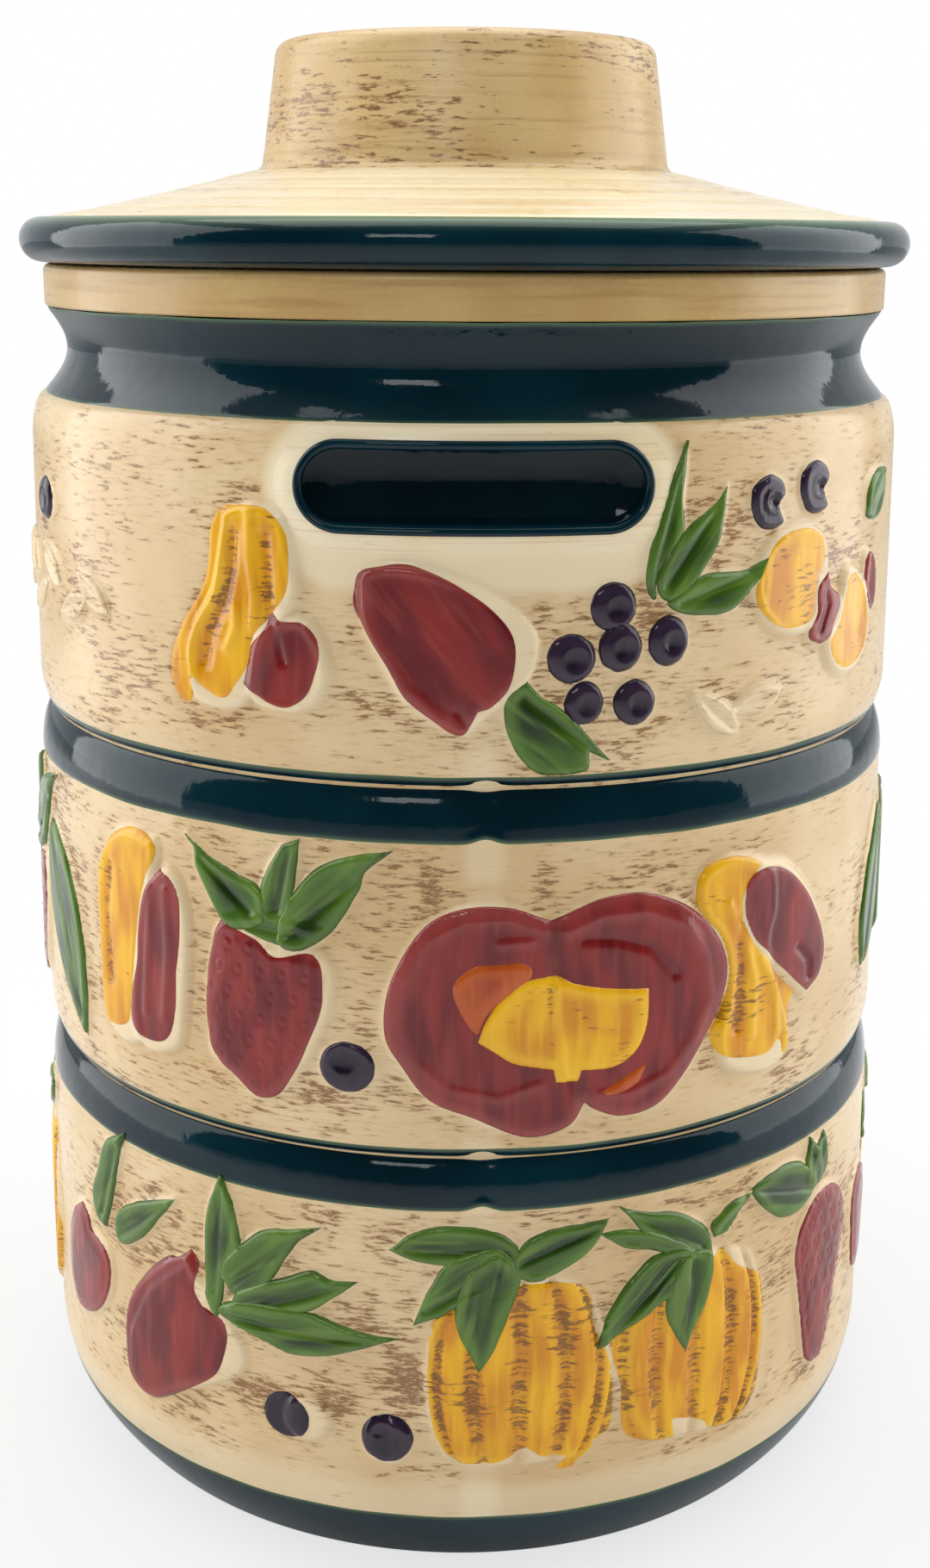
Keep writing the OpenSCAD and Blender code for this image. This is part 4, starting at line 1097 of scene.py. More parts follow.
def paint_material(name, body, dark, light, thin_and_highlight_colour, stain_amount, gloss=0.14, strength=0.5):
    """Brushed underglaze colour: a body tone with darker and lighter strokes, and stain in its hollows."""
    material, tree, shader = new_material(name)
    strokes = placed(tree, BRUSH, Place=attribute(tree, "brush_place", "Vector"))
    stain = placed(tree, STAIN, Amount=stain_amount)
    hollow = attribute(tree, "hollow", "Fac")
    tree.links.new(hollow, stain.inputs["Thick"])
    toned = mixed(tree, strokes.outputs["Tone"], dark, body)
    # Grooves darken towards the dark tone: partly paint pooling there, partly painted shade.
    toned = mixed(tree, maths(tree, "MULTIPLY", hollow, 0.7), toned, dark)
    streaked = mixed(tree, maths(tree, "MULTIPLY", strokes.outputs["Streak"], strength), toned, light)
    # Ridges and the relief's rim turn lighter: partly thinner paint there, partly a painted highlight.
    thin = maths(tree, "MULTIPLY", attribute(tree, "thin_paint_and_highlight", "Fac"), 0.6)
    thinned = mixed(tree, thin, streaked, thin_and_highlight_colour)
    dirty = maths(tree, "MULTIPLY", stain.outputs["Mask"], 0.8)
    tree.links.new(mixed(tree, dirty, thinned, screen(104, 60, 28)), shader.inputs["Base Color"])
    glazed(tree, shader, 0.35, gloss, strokes.outputs["Streak"])
    return material


CREAM = cream_material("cream_glaze", 0.3, True)
PLAIN_CREAM = cream_material("cream_glaze_clean", -1.0, False, pale=True)
LID_CREAM = cream_material("cream_glaze_pale", -0.5, False, pale=True)
TAN = tan_material("tan_glaze", 0.6, screen(218, 190, 138), screen(202, 170, 114))
TAN_RIM = tan_material("tan_rim_glaze", -1.5, screen(204, 172, 114), screen(192, 156, 98))
TEAL = teal_material()
PAINTS = {
    "yellow_paint": paint_material(
        "yellow_paint", body=screen(242, 178, 10), dark=screen(216, 138, 6), light=screen(252, 198, 24),
        thin_and_highlight_colour=screen(248, 196, 30), stain_amount=0.2),
    "red_paint": paint_material(
        "red_paint", body=screen(140, 36, 34), dark=screen(104, 18, 24), light=screen(156, 62, 52),
        thin_and_highlight_colour=screen(160, 76, 72), stain_amount=-1.2, gloss=0.12, strength=0.35),
    "green_paint": paint_material(
        "green_paint", body=screen(62, 98, 22), dark=screen(22, 46, 10), light=screen(112, 146, 56),
        thin_and_highlight_colour=screen(98, 134, 52), stain_amount=-1.8, strength=0.6),
    "berry_paint": paint_material(
        "berry_paint", body=screen(34, 22, 40), dark=screen(22, 14, 28), light=screen(52, 38, 58),
        thin_and_highlight_colour=screen(62, 46, 66), stain_amount=-1.5, gloss=0.1),
    "blush_paint": paint_material(
        "blush_paint", body=screen(186, 82, 22), dark=screen(164, 62, 18), light=screen(206, 110, 30),
        thin_and_highlight_colour=screen(196, 92, 32), stain_amount=-0.6),
}
COLOURED_NODES = {
    "yellow": ("upper_yellow_fruit", "middle_yellow_fruit", "middle_fruit_cores", "lower_pumpkins"),
    "red": (
        "upper_red_fruit", "middle_red_fruit", "middle_strawberries", "middle_split_fruit", "lower_red_fruit",
        "lower_strawberries",
    ),
    "green": ("upper_leaves", "middle_leaves", "lower_leaves"),
    "berry": ("upper_berries", "middle_berries", "lower_berries"),
}


# Pieces of the jar


def slot_loop(grow, count=200):
    """A finger slot's outline across and up from its middle, grown all round."""
    half, r = (GRIP_W - GRIP_H) / 2, GRIP_H / 2 + grow
    ends = []
    for side, start in ((1, -90), (-1, 90)):
        for a in np.radians(np.linspace(start, start + 180, 40)):
            ends.append((side * half + r * math.cos(a), r * math.sin(a)))
    line, _ = resampled(ends + ends[:1], 1.0)
    at = np.linspace(0, len(line) - 1, count, endpoint=False)
    return np.stack([np.interp(at, np.arange(len(line)), line[:, k]) for k in (0, 1)], -1)


def from_slot(angles, z, below=1.0):
    """How far places on the wall lie outside a finger slot. Below it, distances shrink by below."""
    off = np.radians((angles + 90) % 180 - 90)
    x, y = wall_r(z) * np.sin(off), z - GRIP_Z
    half = (GRIP_W - GRIP_H) / 2
    return np.hypot(np.maximum(np.abs(x) - half, 0), np.where(y > 0, y, y * below)) - GRIP_H / 2


def frame_height(angles, z):
    """The soft swelling of the wall round the finger slots."""
    flat_w, fall_w = 1.5, 3.0
    away = np.maximum(from_slot(angles, z) - flat_w, 0)
    return np.exp(-((away / fall_w) ** 2)) * np.clip((SHOULDER_Z + 6 - z) / 4, 0, 1)


def stain_at(name, angles, z, edge, raised):
    """How thick the wiped stain is at places on a tier. Below nothing it was wiped clean."""
    at_relief_foot, off_relief, off_seam, off_slot, off_base = 0.45, 0.7, 0.6, 1.2, 0.6
    seam_half_w, slot_clean_w, slot_fade_w, below_slot_share = 4.0, 7.5, 2.0, 0.72
    total = at_relief_foot * edge
    for angle, up, half_w, half_h, strength in STAINED[name]:
        off = np.radians((angles - angle + 90) % 180 - 90) * BODY_R
        total = np.maximum(total, strength * np.exp(-((off / half_w) ** 2) - ((z - up) / half_h) ** 2))
    total = total - off_relief * np.clip(raised, 0, 1)
    total = total - off_seam * np.exp(-((np.radians(from_seam(angles)) * BODY_R / seam_half_w) ** 4))
    if name == "upper_wall":
        clean = np.clip((slot_clean_w - from_slot(angles, z, below_slot_share)) / slot_fade_w, 0, 1)
        total = total * (1 - clean) - off_slot * clean
    if name == "lower_wall":
        total = total - off_base * np.clip((BASE_Z + 2 - z) / 5, 0, 1)
    return total


def wall(name, low, high, inner):
    """A tier of the wall as a closed ring: a fine outer face with the relief, and a plain inner face."""
    steps = max(2, int(round((high - low) / ROW_STEP)))
    along = np.linspace(low, high, steps + 1)
    r, z = jar_at(along)
    half_columns = COLUMNS // 2
    angles = np.arange(half_columns) * 360.0 / COLUMNS
    every_angle = np.tile(angles, len(z))
    every_z = np.repeat(z, half_columns)
    fade_h, wiped_clean = 2, -1.4
    band = np.clip((every_z - TIER_FLOOR[name]) / fade_h, 0, 1)
    band = band * np.clip((TIER_CEILING[name] - every_z) / fade_h, 0, 1)
    raised, edge, deep = survey(TIERS[name], every_angle, every_z)
    stain = stain_at(name, every_angle, every_z, edge * band, raised * band)
    if name == "upper_wall":
        raised = np.maximum(raised, frame_height(every_angle, every_z))
    raised = raised * band
    shape = raised - PAINT_SEAT * deep
    shape, stain, raised = (np.tile(v.reshape(len(z), half_columns), 2) for v in (shape, stain, raised))
    turn = np.arange(COLUMNS) * 360.0 / COLUMNS
    outer = on_turn(r[:, None] + shape, turn[None, :], z[:, None])
    inside = [on_turn(np.full(COLUMNS, ri), turn, zi) for ri, zi in inner]
    points = np.concatenate([outer.reshape(-1, 3), *inside])
    faces = ring_faces(len(z) + len(inner), COLUMNS, True)
    piece = as_piece(name, points, faces, "jar", [name], CREAM, sharp=60)
    unstained = np.full(len(inner) * COLUMNS, wiped_clean)
    add_float(piece.data, "stain_thickness", np.concatenate([stain.ravel(), unstained]))
    # The relief's height also sets how much lighter cream, partly a painted highlight, the cream glaze paints
    # on it.
    add_float(piece.data, "relief_height_highlight", np.concatenate([raised.ravel(), 0 * unstained]))
    return piece


def cut(piece, cutter):
    """Cuts a helper mesh out of a piece."""
    mod = piece.modifiers.new("cut", "BOOLEAN")
    mod.operation = "DIFFERENCE"
    mod.solver = "EXACT"
    mod.object = cutter
    done = piece.evaluated_get(bpy.context.evaluated_depsgraph_get())
    mesh = bpy.data.meshes.new_from_object(done)
    piece.modifiers.clear()
    old = piece.data
    piece.data = mesh
    bpy.data.meshes.remove(old)
    mesh.name = piece.name


def slot_cutter():
    """Both finger slots as one helper mesh that reaches in from outside the wall."""
    loop = slot_loop(LINING_T * 0.6, 120)
    count = len(loop)
    points, faces = [], []
    for side in (1, -1):
        start = len(points)
        for y in (-(BODY_R + 8), -(wall_r(GRIP_Z) - GRIP_DEPTH - 0.5)):
            points.extend((side * x * MM, side * y * MM, (GRIP_Z + up) * MM) for x, up in loop)
        faces.extend((ring_faces(2, count, False)[:, ::-1] + start).tolist())
        faces.append(tuple(start + k for k in range(count)))
        faces.append(tuple(start + count + k for k in reversed(range(count))))
    mesh = bpy.data.meshes.new("slot_cutter")
    mesh.from_pydata(points, [], faces)
    form = bmesh.new()
    form.from_mesh(mesh)
    bmesh.ops.recalc_face_normals(form, faces=form.faces)
    form.to_mesh(mesh)
    form.free()
    helper = bpy.data.objects.new("slot_cutter", mesh)
    bpy.context.scene.collection.objects.link(helper)
    return helper


def walls():
    """The three tiers of the casting."""
    lap = 1.6
    core_r = CAVITY_R + 4
    wall("lower_wall", along_at(FOOT_GLAZE_Z) - lap, along_at(LOWER_RING_Z) + lap,
         [(CAVITY_R, LOWER_RING_Z), (CAVITY_R, BASE_Z), (BASE_SEAT_R, BASE_Z), (BASE_SEAT_R, FOOT_GLAZE_Z)])
    wall("middle_wall", along_at(LOWER_WAIST_Z) + lap, along_at(UPPER_RING_Z) + lap,
         [(CAVITY_R, UPPER_RING_Z), (CAVITY_R, LOWER_RING_Z), (core_r, LOWER_RING_Z)])
    upper = wall("upper_wall", along_at(UPPER_WAIST_Z) + lap, along_at(NECK_Z) + lap,
                 [(NECK_SEAT_R, NECK_Z), (NECK_SEAT_R, RIM_Z), (MOUTH_R, RIM_Z), (MOUTH_R, NECK_Z),
                  (CAVITY_R, SHOULDER_Z), (CAVITY_R, UPPER_RING_Z), (core_r, UPPER_RING_Z)])
    helper = slot_cutter()
    cut(upper, helper)
    bpy.data.objects.remove(helper)


def jar_base():
    """The floor, its rounded corner inside and the shallow hollow beneath."""
    floor_z = FOOT_HOLLOW + FLOOR_T
    corner = arc((CAVITY_R - CORNER_R, floor_z + CORNER_R), (CORNER_R, CORNER_R), 0, -90, 16)
    outline = [
        (0, FOOT_HOLLOW), (FOOT_R - FOOT_RING_W + 4, FOOT_HOLLOW), (BASE_SEAT_R, FOOT_GLAZE_Z),
        (BASE_SEAT_R, BASE_Z), (CAVITY_R, BASE_Z), *corner, (0, floor_z),
    ]
    points, faces = turned(outline)
    as_piece("base_shell", points, faces, "jar", ["base_shell"], PLAIN_CREAM)


def glaze_band(name, low, high, seed, inner, notch=0.0):
    """A band of coloured glaze on the jar's outer face. Its edges run unevenly, and notch is how far up its
    lower edge pulls at each mould seam."""
    row_step, edge_wave, edge_w, glaze_t, drift_t = 0.45, 0.22, 0.5, 0.16, 0.10
    turn = np.arange(COLUMNS) * 360.0 / COLUMNS
    seam = from_seam(turn)
    low_edge = low + waves(turn, seed, edge_wave) + notch * np.exp(-((seam / 1.5) ** 2))
    high_edge = high + waves(turn, seed + 1, edge_wave)
    rows = max(8, int((high - low) / row_step))
    share = np.linspace(0, 1, rows + 1)[:, None]
    along = low_edge[None, :] * (1 - share) + high_edge[None, :] * share
    ends = np.minimum(along - low_edge, high_edge - along)
    skin = glaze_t * np.minimum(1, ends / edge_w)
    drift = drift_t * waves(turn, seed + 2, 1.0, 2, 14)[None, :] * np.sin(math.pi * share)
    pinch = 0.4 * notch * np.exp(-((seam / 1.8) ** 2))[None, :] * np.clip(ends / 2, 0, 1)
    r, z = jar_at(along.ravel(), (skin + drift - pinch).ravel())
    outer = on_turn(r, np.tile(turn, rows + 1), z)
    inside = [on_turn(np.full(COLUMNS, ri), turn, zi) for ri, zi in inner]
    points = np.concatenate([outer, *inside])
    faces = ring_faces(rows + 1 + len(inner), COLUMNS, True)
    piece = as_piece(name, points, faces, "jar", [name], TEAL, sharp=50)
    thinned = 0.45 * np.exp(-((ends.ravel() / edge_w) ** 2))
    add_float(piece.data, "thin_glaze", np.concatenate([thinned, np.zeros(len(inner) * COLUMNS)]))


def coloured_bands():
    """Foot, both rings and the neck."""
    glaze_edge = 45
    for name, ring_z, seed in (("lower_ring", LOWER_RING_Z, 11), ("upper_ring", UPPER_RING_Z, 21)):
        waist_z = ring_z + RING_RISE
        waist_r = wall_r(waist_z) - RING_SET_BACK
        top_z = waist_z + EDGE_RISE * (1 - math.cos(math.radians(glaze_edge)))
        glaze_band(name, along_at(ring_z), along_at(top_z), seed,
                   [(waist_r - 2, top_z), (waist_r - 2, ring_z)], notch=1.0)
    glaze_band("neck_band", along_at(NECK_Z), JAR_ALONG[-1] - 0.3, 31,
               [(NECK_SEAT_R, RIM_Z), (NECK_SEAT_R, NECK_Z)])
    ring_inner_r = FOOT_R - FOOT_RING_W
    glaze_band("foot_band", 0.4, along_at(FOOT_GLAZE_Z), 41,
               [(FOOT_R + 3, FOOT_GLAZE_Z - 1), (FOOT_R - 4.5, FOOT_HOLLOW), (ring_inner_r, FOOT_HOLLOW),
                (ring_inner_r, 0.3), (ring_inner_r + 0.5, 0), (FOOT_R - 0.8, 0)])


def mouth_rim():
    """The band round the mouth."""
    lip = 1.4
    outline = [
        (MOUTH_R, RIM_Z), (RIM_R - 0.3, RIM_Z), (RIM_R, RIM_Z + 0.3), (RIM_R, (RIM_Z + MOUTH_Z) / 2),
        *arc((RIM_R - lip, MOUTH_Z - lip), (lip, lip), 0, 90, 8), (RIM_R - 4, MOUTH_Z),
        *arc((MOUTH_R + lip, MOUTH_Z - lip), (lip, lip), 90, 180, 8),
    ]
    points, faces = turned(outline)
    as_piece("mouth_rim", points, faces, "jar", ["mouth_rim"], TAN_RIM)


def grip_linings():
    """The glazed linings of the finger slots."""
    # How far each ring of the lining stands outside the slot's outline, and how deep behind the wall's face
    section = [
        (1.5, 0.7), (1.4, -0.1), (1.0, -0.35), (0.4, -0.3), (-0.1, 0.2), (-0.3, 1.0), (-0.3, 2.4), (0, 5.0),
    ]
    rings = []
    for grow, depth in section:
        loop = slot_loop(grow)
        z = GRIP_Z + loop[:, 1]
        face = np.sqrt(wall_r(z) ** 2 - loop[:, 0] ** 2)
        swell = frame_height(np.degrees(np.arcsin(loop[:, 0] / wall_r(z))), z)
        rings.append(np.stack([loop[:, 0], -face - swell + depth, z], -1))
    back_y = -(wall_r(GRIP_Z) - GRIP_DEPTH)
    for grow in (0, -0.4, -1.2, -2.6, -4.6, -6.4):
        loop = slot_loop(grow)
        hollow = 1.4 * (1 + grow / 6.7) ** 2
        rings.append(np.stack([loop[:, 0], np.full(len(loop), back_y - hollow), GRIP_Z + loop[:, 1]], -1))
    count = len(rings[0])
    points, faces = [], []
    for side in (1, -1):
        start = len(points)
        for ring in rings:
            points.extend(ring * np.array([side, side, 1]))
        faces.extend((ring_faces(len(rings), count, False) + start).tolist())
        faces.append(tuple(start + (len(rings) - 1) * count + k for k in range(count)))
    piece = as_piece("grip_linings", points, faces, "jar", ["grip_linings"], TEAL, sharp=60)
    add_float(piece.data, "thin_glaze", np.zeros(len(points)))


def grip_housings():
    """The bosses inside the wall that close the finger slots."""
    count = 96
    loop = slot_loop(LINING_T + GRIP_BACK_T, count)
    rise = np.minimum(loop[:, 1], NECK_Z - GRIP_Z)
    back_y = -(wall_r(GRIP_Z) - GRIP_DEPTH - LINING_T - GRIP_BACK_T)
    points, faces = [], []
    for side in (1, -1):
        start = len(points)
        for y, size in ((None, 1.0), (back_y - 2.0, 1.0), (back_y - 0.6, 0.97), (back_y, 0.92)):
            x, z = loop[:, 0] * size, GRIP_Z + rise * size
            front = -np.sqrt(CAVITY_R ** 2 - x ** 2) - 0.5
            points.extend(np.stack([x, front if y is None else np.full(count, y), z], -1) * (side, side, 1))
        faces.extend((ring_faces(4, count, False)[:, ::-1] + start).tolist())
        faces.append(tuple(start + 3 * count + k for k in reversed(range(count))))
    as_piece("grip_housings", points, faces, "jar", ["grip_housings"], PLAIN_CREAM, sharp=50)


# Painted ornaments


def flat_mesh(loop, hole=None):
    """Points and triangles that fill a loop evenly, round a hole if one is given."""
    low, high = loop.min(0), loop.max(0)
    xs = np.arange(low[0], high[0], PATCH_STEP)
    ys = np.arange(low[1], high[1], PATCH_STEP * 0.866)
    grid_x, grid_y = np.meshgrid(xs, ys)
    grid_x = grid_x + (np.arange(len(ys)) % 2)[:, None] * PATCH_STEP / 2
    grid = np.stack([grid_x.ravel(), grid_y.ravel()], -1)
    grid = grid[inside_distance(grid[:, 0], grid[:, 1], loop) > PATCH_STEP * 0.55]
    loops = [loop]
    if hole is not None:
        grid = grid[inside_distance(grid[:, 0], grid[:, 1], hole) < -PATCH_STEP * 0.55]
        loops.append(hole)
    edges, start = [], 0
    for one in loops:
        count = len(one)
        edges += [(start + k, start + (k + 1) % count) for k in range(count)]
        start += count
    verts = np.vstack([*loops, grid])
    out_verts, _, out_faces = delaunay_2d_cdt([Vector(v) for v in verts], edges, [], 0, 1e-5)[:3]
    points = np.array([tuple(v) for v in out_verts])
    tris = np.array(out_faces)
    middle = points[tris].mean(1)
    keep = inside_distance(middle[:, 0], middle[:, 1], loop) > 0
    if hole is not None:
        keep &= inside_distance(middle[:, 0], middle[:, 1], hole) < 0
    return points, tris[keep]


def rim_edges(tris):
    """The border edges of a set of triangles, each in its triangle's direction."""
    edges = np.concatenate([tris[:, [0, 1]], tris[:, [1, 2]], tris[:, [2, 0]]])
    known = {(a, b) for a, b in edges.tolist()}
    return [(a, b) for a, b in edges.tolist() if (b, a) not in known]


def wobbled(loop, seed, amount):
    """A painted outline, which wavers a little."""
    step = np.roll(loop, -1, 0) - np.roll(loop, 1, 0)
    size = np.maximum(np.hypot(*step.T), 1e-6)
    across = np.stack([step[:, 1], -step[:, 0]], -1) / size[:, None]
    place = np.linspace(0, 360, len(loop), endpoint=False)
    return loop + across * waves(place, seed, amount, 2, 14, 6)[:, None]


class Patches:
    """Thin closed patches on the wall, gathered into one piece."""

    def __init__(self):
        self.points, self.faces, self.brush, self.hollow, self.thin = [], [], [], [], []

    def add(self, angles, z, top_r, low_r, tris, brush, hollow, thin):
        """One patch, and the same half a turn on. low_r is the radius of the skirt's foot."""
        border = rim_edges(tris)
        size = len(z)
        low_of = {}
        for a, _ in border:
            low_of[a] = size + len(low_of)
        rim = np.array(list(low_of))
        every = np.concatenate([np.arange(size), rim])
        skirt = np.array([(b, a, low_of[a], low_of[b]) for a, b in border])
        for turn in (0, 180):
            start = len(self.points)
            self.points.extend(on_turn(top_r, angles + turn, z))
            self.points.extend(on_turn(low_r[rim], angles[rim] + turn, z[rim]))
            self.faces.extend((tris + start).tolist())
            self.faces.extend((skirt + start).tolist())
            self.brush.extend(brush[every] + np.array([turn, 0, 0]))
            self.hollow.extend(hollow[every])
            self.thin.extend(thin[every])

    def piece(self, name, node, slot, material):
        """The finished piece."""
        made = as_piece(name, self.points, self.faces, "jar", [node], material, sharp=60)
        place = made.data.attributes.new("brush_place", "FLOAT_VECTOR", "POINT")
        place.data.foreach_set("vector", np.array(self.brush, np.float32).ravel())
        add_float(made.data, "hollow", self.hollow)
        # Where rims and ridges are painted lighter: partly thinner paint, partly a painted highlight.
        add_float(made.data, "thin_paint_and_highlight", self.thin)
        add_float(made.data, "stain_thickness", np.zeros(len(self.points)))
        # Plain cream leaves get an even lighter cream, partly a painted highlight on their relief.
        add_float(made.data, "relief_height_highlight", np.full(len(self.points), 0.8))


def paint(node, slot, material, chosen, name=None):
    """The painted ornaments that are chosen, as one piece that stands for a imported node."""
    waver, edge_w, layer_share, skirt_h = 0.12, 0.35, 0.35, 1.0
    hollow_depth, thin_at, thin_w, ridge_thin, brush_gap = 0.5, 1.6, 1.3, 1.5, 40
    tier = next(tier for tier, motifs in TIERS.items() if any(m.node == node for m in motifs))
    patches = Patches()
    for k, one in enumerate(chosen):
        loop = wobbled(one.paint, k + 7, waver)
        flat, tris = flat_mesh(loop)
        x, y = flat.T
        deep = inside_distance(x, y, loop)
        angles, z = one.on_wall(x, y)
        raised, _, _ = survey(TIERS[tier], angles, z, one.layer)
        skin = PAINT_T * (1 + layer_share * one.layer) * np.clip(deep / edge_w, 0.1, 1)
        cutting = -sum((relief(x, y) for relief in one.details), np.zeros(len(x)))
        # hollow is the depth of grooves. It thickens stain there and darkens the paint, partly as painted
        # shade.
        hollow = np.clip(cutting / hollow_depth, 0, 1)
        _, form_deep, _ = one.survey(x, y)
        # thin is where the relief's rim and its ridges are painted lighter: partly thinner paint, partly a
        # painted highlight.
        thin = np.exp(-(((form_deep - thin_at) / thin_w) ** 2)) + np.clip(-cutting * ridge_thin, 0, 1)
        turn = math.radians(-one.grain)
        across = x * math.cos(turn) - y * math.sin(turn) + brush_gap * k
        brush = np.stack([across, x * math.sin(turn) + y * math.cos(turn), 0 * x + k], -1)
        face_r = wall_r(z) + raised
        patches.add(angles, z, face_r + skin, face_r - skirt_h, tris, brush, hollow, np.clip(thin, 0, 1))
    patches.piece(name or node, node, slot, material)


def is_blush(one):
    """Whether an ornament is an orange touch beside the split fruit's core."""
    return one.paint is CORE_BLUSH or one.paint is LOW_BLUSH


def painted_ornaments():
    """Every painted ornament of the three tiers."""
    motifs = [m for tier in TIERS.values() for m in tier]
    for colour, nodes in COLOURED_NODES.items():
        slot = colour + "_paint"
        for node in nodes:
            paint(node, slot, PAINTS[slot], [m for m in motifs if m.node == node and not is_blush(m)])
    blush = [m for m in motifs if is_blush(m)]
    paint("middle_split_fruit", "red_paint", PAINTS["blush_paint"], blush, "split_fruit_blush")
    paint("plain_leaves", "cream_glaze", CREAM, [m for m in motifs if m.node == "plain_leaves"])


def grip_frames():
    """The smooth clean border round each finger slot."""
    flat, tris = flat_mesh(slot_loop(FRAME_W + LINING_T, 240), slot_loop(LINING_T * 0.5, 220))
    z = GRIP_Z + flat[:, 1]
    angles = np.degrees(np.arcsin(flat[:, 0] / wall_r(z)))
    upper = JAR_LINE[JAR_LINE[:, 1] > UPPER_WAIST_Z + EDGE_RISE]
    face_r = np.interp(z, upper[:, 1], upper[:, 0]) + frame_height(angles, z)
    blank = np.zeros(len(z))
    patches = Patches()
    patches.add(angles, z, face_r + 0.04, face_r - 0.8, tris, np.zeros((len(z), 3)), blank, blank)
    patches.piece("grip_frames", "grip_frames", "cream_glaze", PLAIN_CREAM)


# Pieces of the lid


def lid_shell():
    """The low cone with its turned steps, and the plain underside."""
    cone_r, foot_r = LID_R - ROLL_W, KNOB_R + KNOB_FILLET
    steps, drop = 5, 0.55
    line = [(cone_r + 0.6, CONE_Z - 0.6)]
    for k in range(steps):
        share, after = k / steps, (k + 1) / steps
        r0, r1 = (cone_r + (foot_r - cone_r) * s for s in (share, after))
        z0, z1 = (CONE_Z + (KNOB_Z - CONE_Z) * s ** 1.15 for s in (share, after))
        line += [
            (r0, z0), (r0 - 0.5, z0 + drop * 0.7), (r0 - 1.3, z0 + drop),
            ((r0 + r1) / 2, (z0 + z1 + drop) / 2),
            (r1 + 0.6, z1 + drop * 0.1),
        ]
    inner_r, hollow_r = KNOB_R - KNOB_T, FLANGE_R - FLANGE_T
    outline = [
        (hollow_r, LID_Z), (cone_r + 0.6, LID_Z), *line, (foot_r, KNOB_Z), (inner_r, KNOB_Z),
        (inner_r, KNOB_Z - LID_T), (hollow_r, CONE_Z - LID_T),
    ]
    points, faces = turned(outline)
    as_piece("lid_shell", points, faces, "lid", ["lid_shell"], LID_CREAM, sharp=50)


def lid_roll():
    """The rolled edge, with glaze that breaks to green along its upper side."""
    half = (CONE_Z - LID_Z) / 2
    cone_r = LID_R - ROLL_W
    turn = np.arange(COLUMNS) * 360.0 / COLUMNS
    line = [(cone_r, LID_Z), *arc((LID_R - half, LID_Z + half), (half, half), -90, 90, 36), (cone_r, CONE_Z),
            (cone_r - 1.4, CONE_Z + 0.05), (cone_r - 1.4, CONE_Z - 1)]
    rows = []
    for k, (r, z) in enumerate(line):
        uneven = waves(turn, 51, 0.25) if k == len(line) - 3 else 0
        rows.append(on_turn(np.full(COLUMNS, r) + uneven, turn, z))
    points = np.concatenate(rows)
    faces = ring_faces(len(line), COLUMNS, True)
    piece = as_piece("lid_roll", points, faces, "lid", ["lid_roll"], TEAL, sharp=60)
    add_float(piece.data, "thin_glaze", 0.75 * np.clip((points[:, 2] - (CONE_Z - 3.2)) / 3.2, 0, 1) ** 3)


def lid_flange():
    """The flange under the lid."""
    inner = FLANGE_R - FLANGE_T
    outline = [
        (inner, FLANGE_Z + 0.6), *arc((inner + 0.8, FLANGE_Z + 0.8), (0.8, 0.8), 180, 270, 5),
        *arc((FLANGE_R - 1, FLANGE_Z + 1), (1, 1), -90, 0, 6), (FLANGE_R, LID_Z), (inner, LID_Z),
    ]
    points, faces = turned(outline)
    as_piece("lid_flange", points, faces, "lid", ["lid_flange"], PLAIN_CREAM)


def knob():
    """The hollow drum knob."""
    top_r, rounding, dome = 39.4, 3.2, 0.8
    side = np.linspace(0, 1, 24)
    low_z, high_z = KNOB_Z + KNOB_FILLET, TOP_Z - dome - rounding
    outline = [(KNOB_R - KNOB_T, KNOB_Z), (KNOB_R + KNOB_FILLET, KNOB_Z)]
    outline += [
        (KNOB_R + KNOB_FILLET * (1 - math.sin(a)), KNOB_Z + KNOB_FILLET * (1 - math.cos(a)))
        for a in np.radians(np.linspace(10, 90, 8))
    ]
    outline += [(KNOB_R + (top_r - KNOB_R) * s, low_z + (high_z - low_z) * s) for s in side[1:-1]]
    outline += arc((top_r - rounding, high_z), (rounding, rounding), 0, 90, 12)
    outline += [(top_r * s, TOP_Z - dome * s ** 2) for s in (0.8, 0.6, 0.4, 0.2)] + [(0, TOP_Z)]
    outline += [(0, TOP_Z - KNOB_T), (top_r - 2 * KNOB_T, TOP_Z - KNOB_T)]
    outline += [(top_r - KNOB_T, TOP_Z - 2 * KNOB_T)]
    points, faces = turned(outline)
    piece = as_piece("knob", points, faces, "lid", ["knob"], TAN)
    angle = np.degrees(np.arctan2(points[:, 0], -points[:, 1]))
    patch = np.exp(-(((angle + 62) / 24) ** 2) - ((points[:, 2] - (KNOB_Z + 9)) / 6) ** 2)
    on_side = np.hypot(points[:, 0], points[:, 1]) > top_r - 1
    add_float(piece.data, "stain_thickness", np.where(on_side, 1.1 * patch, 0))


# The studio


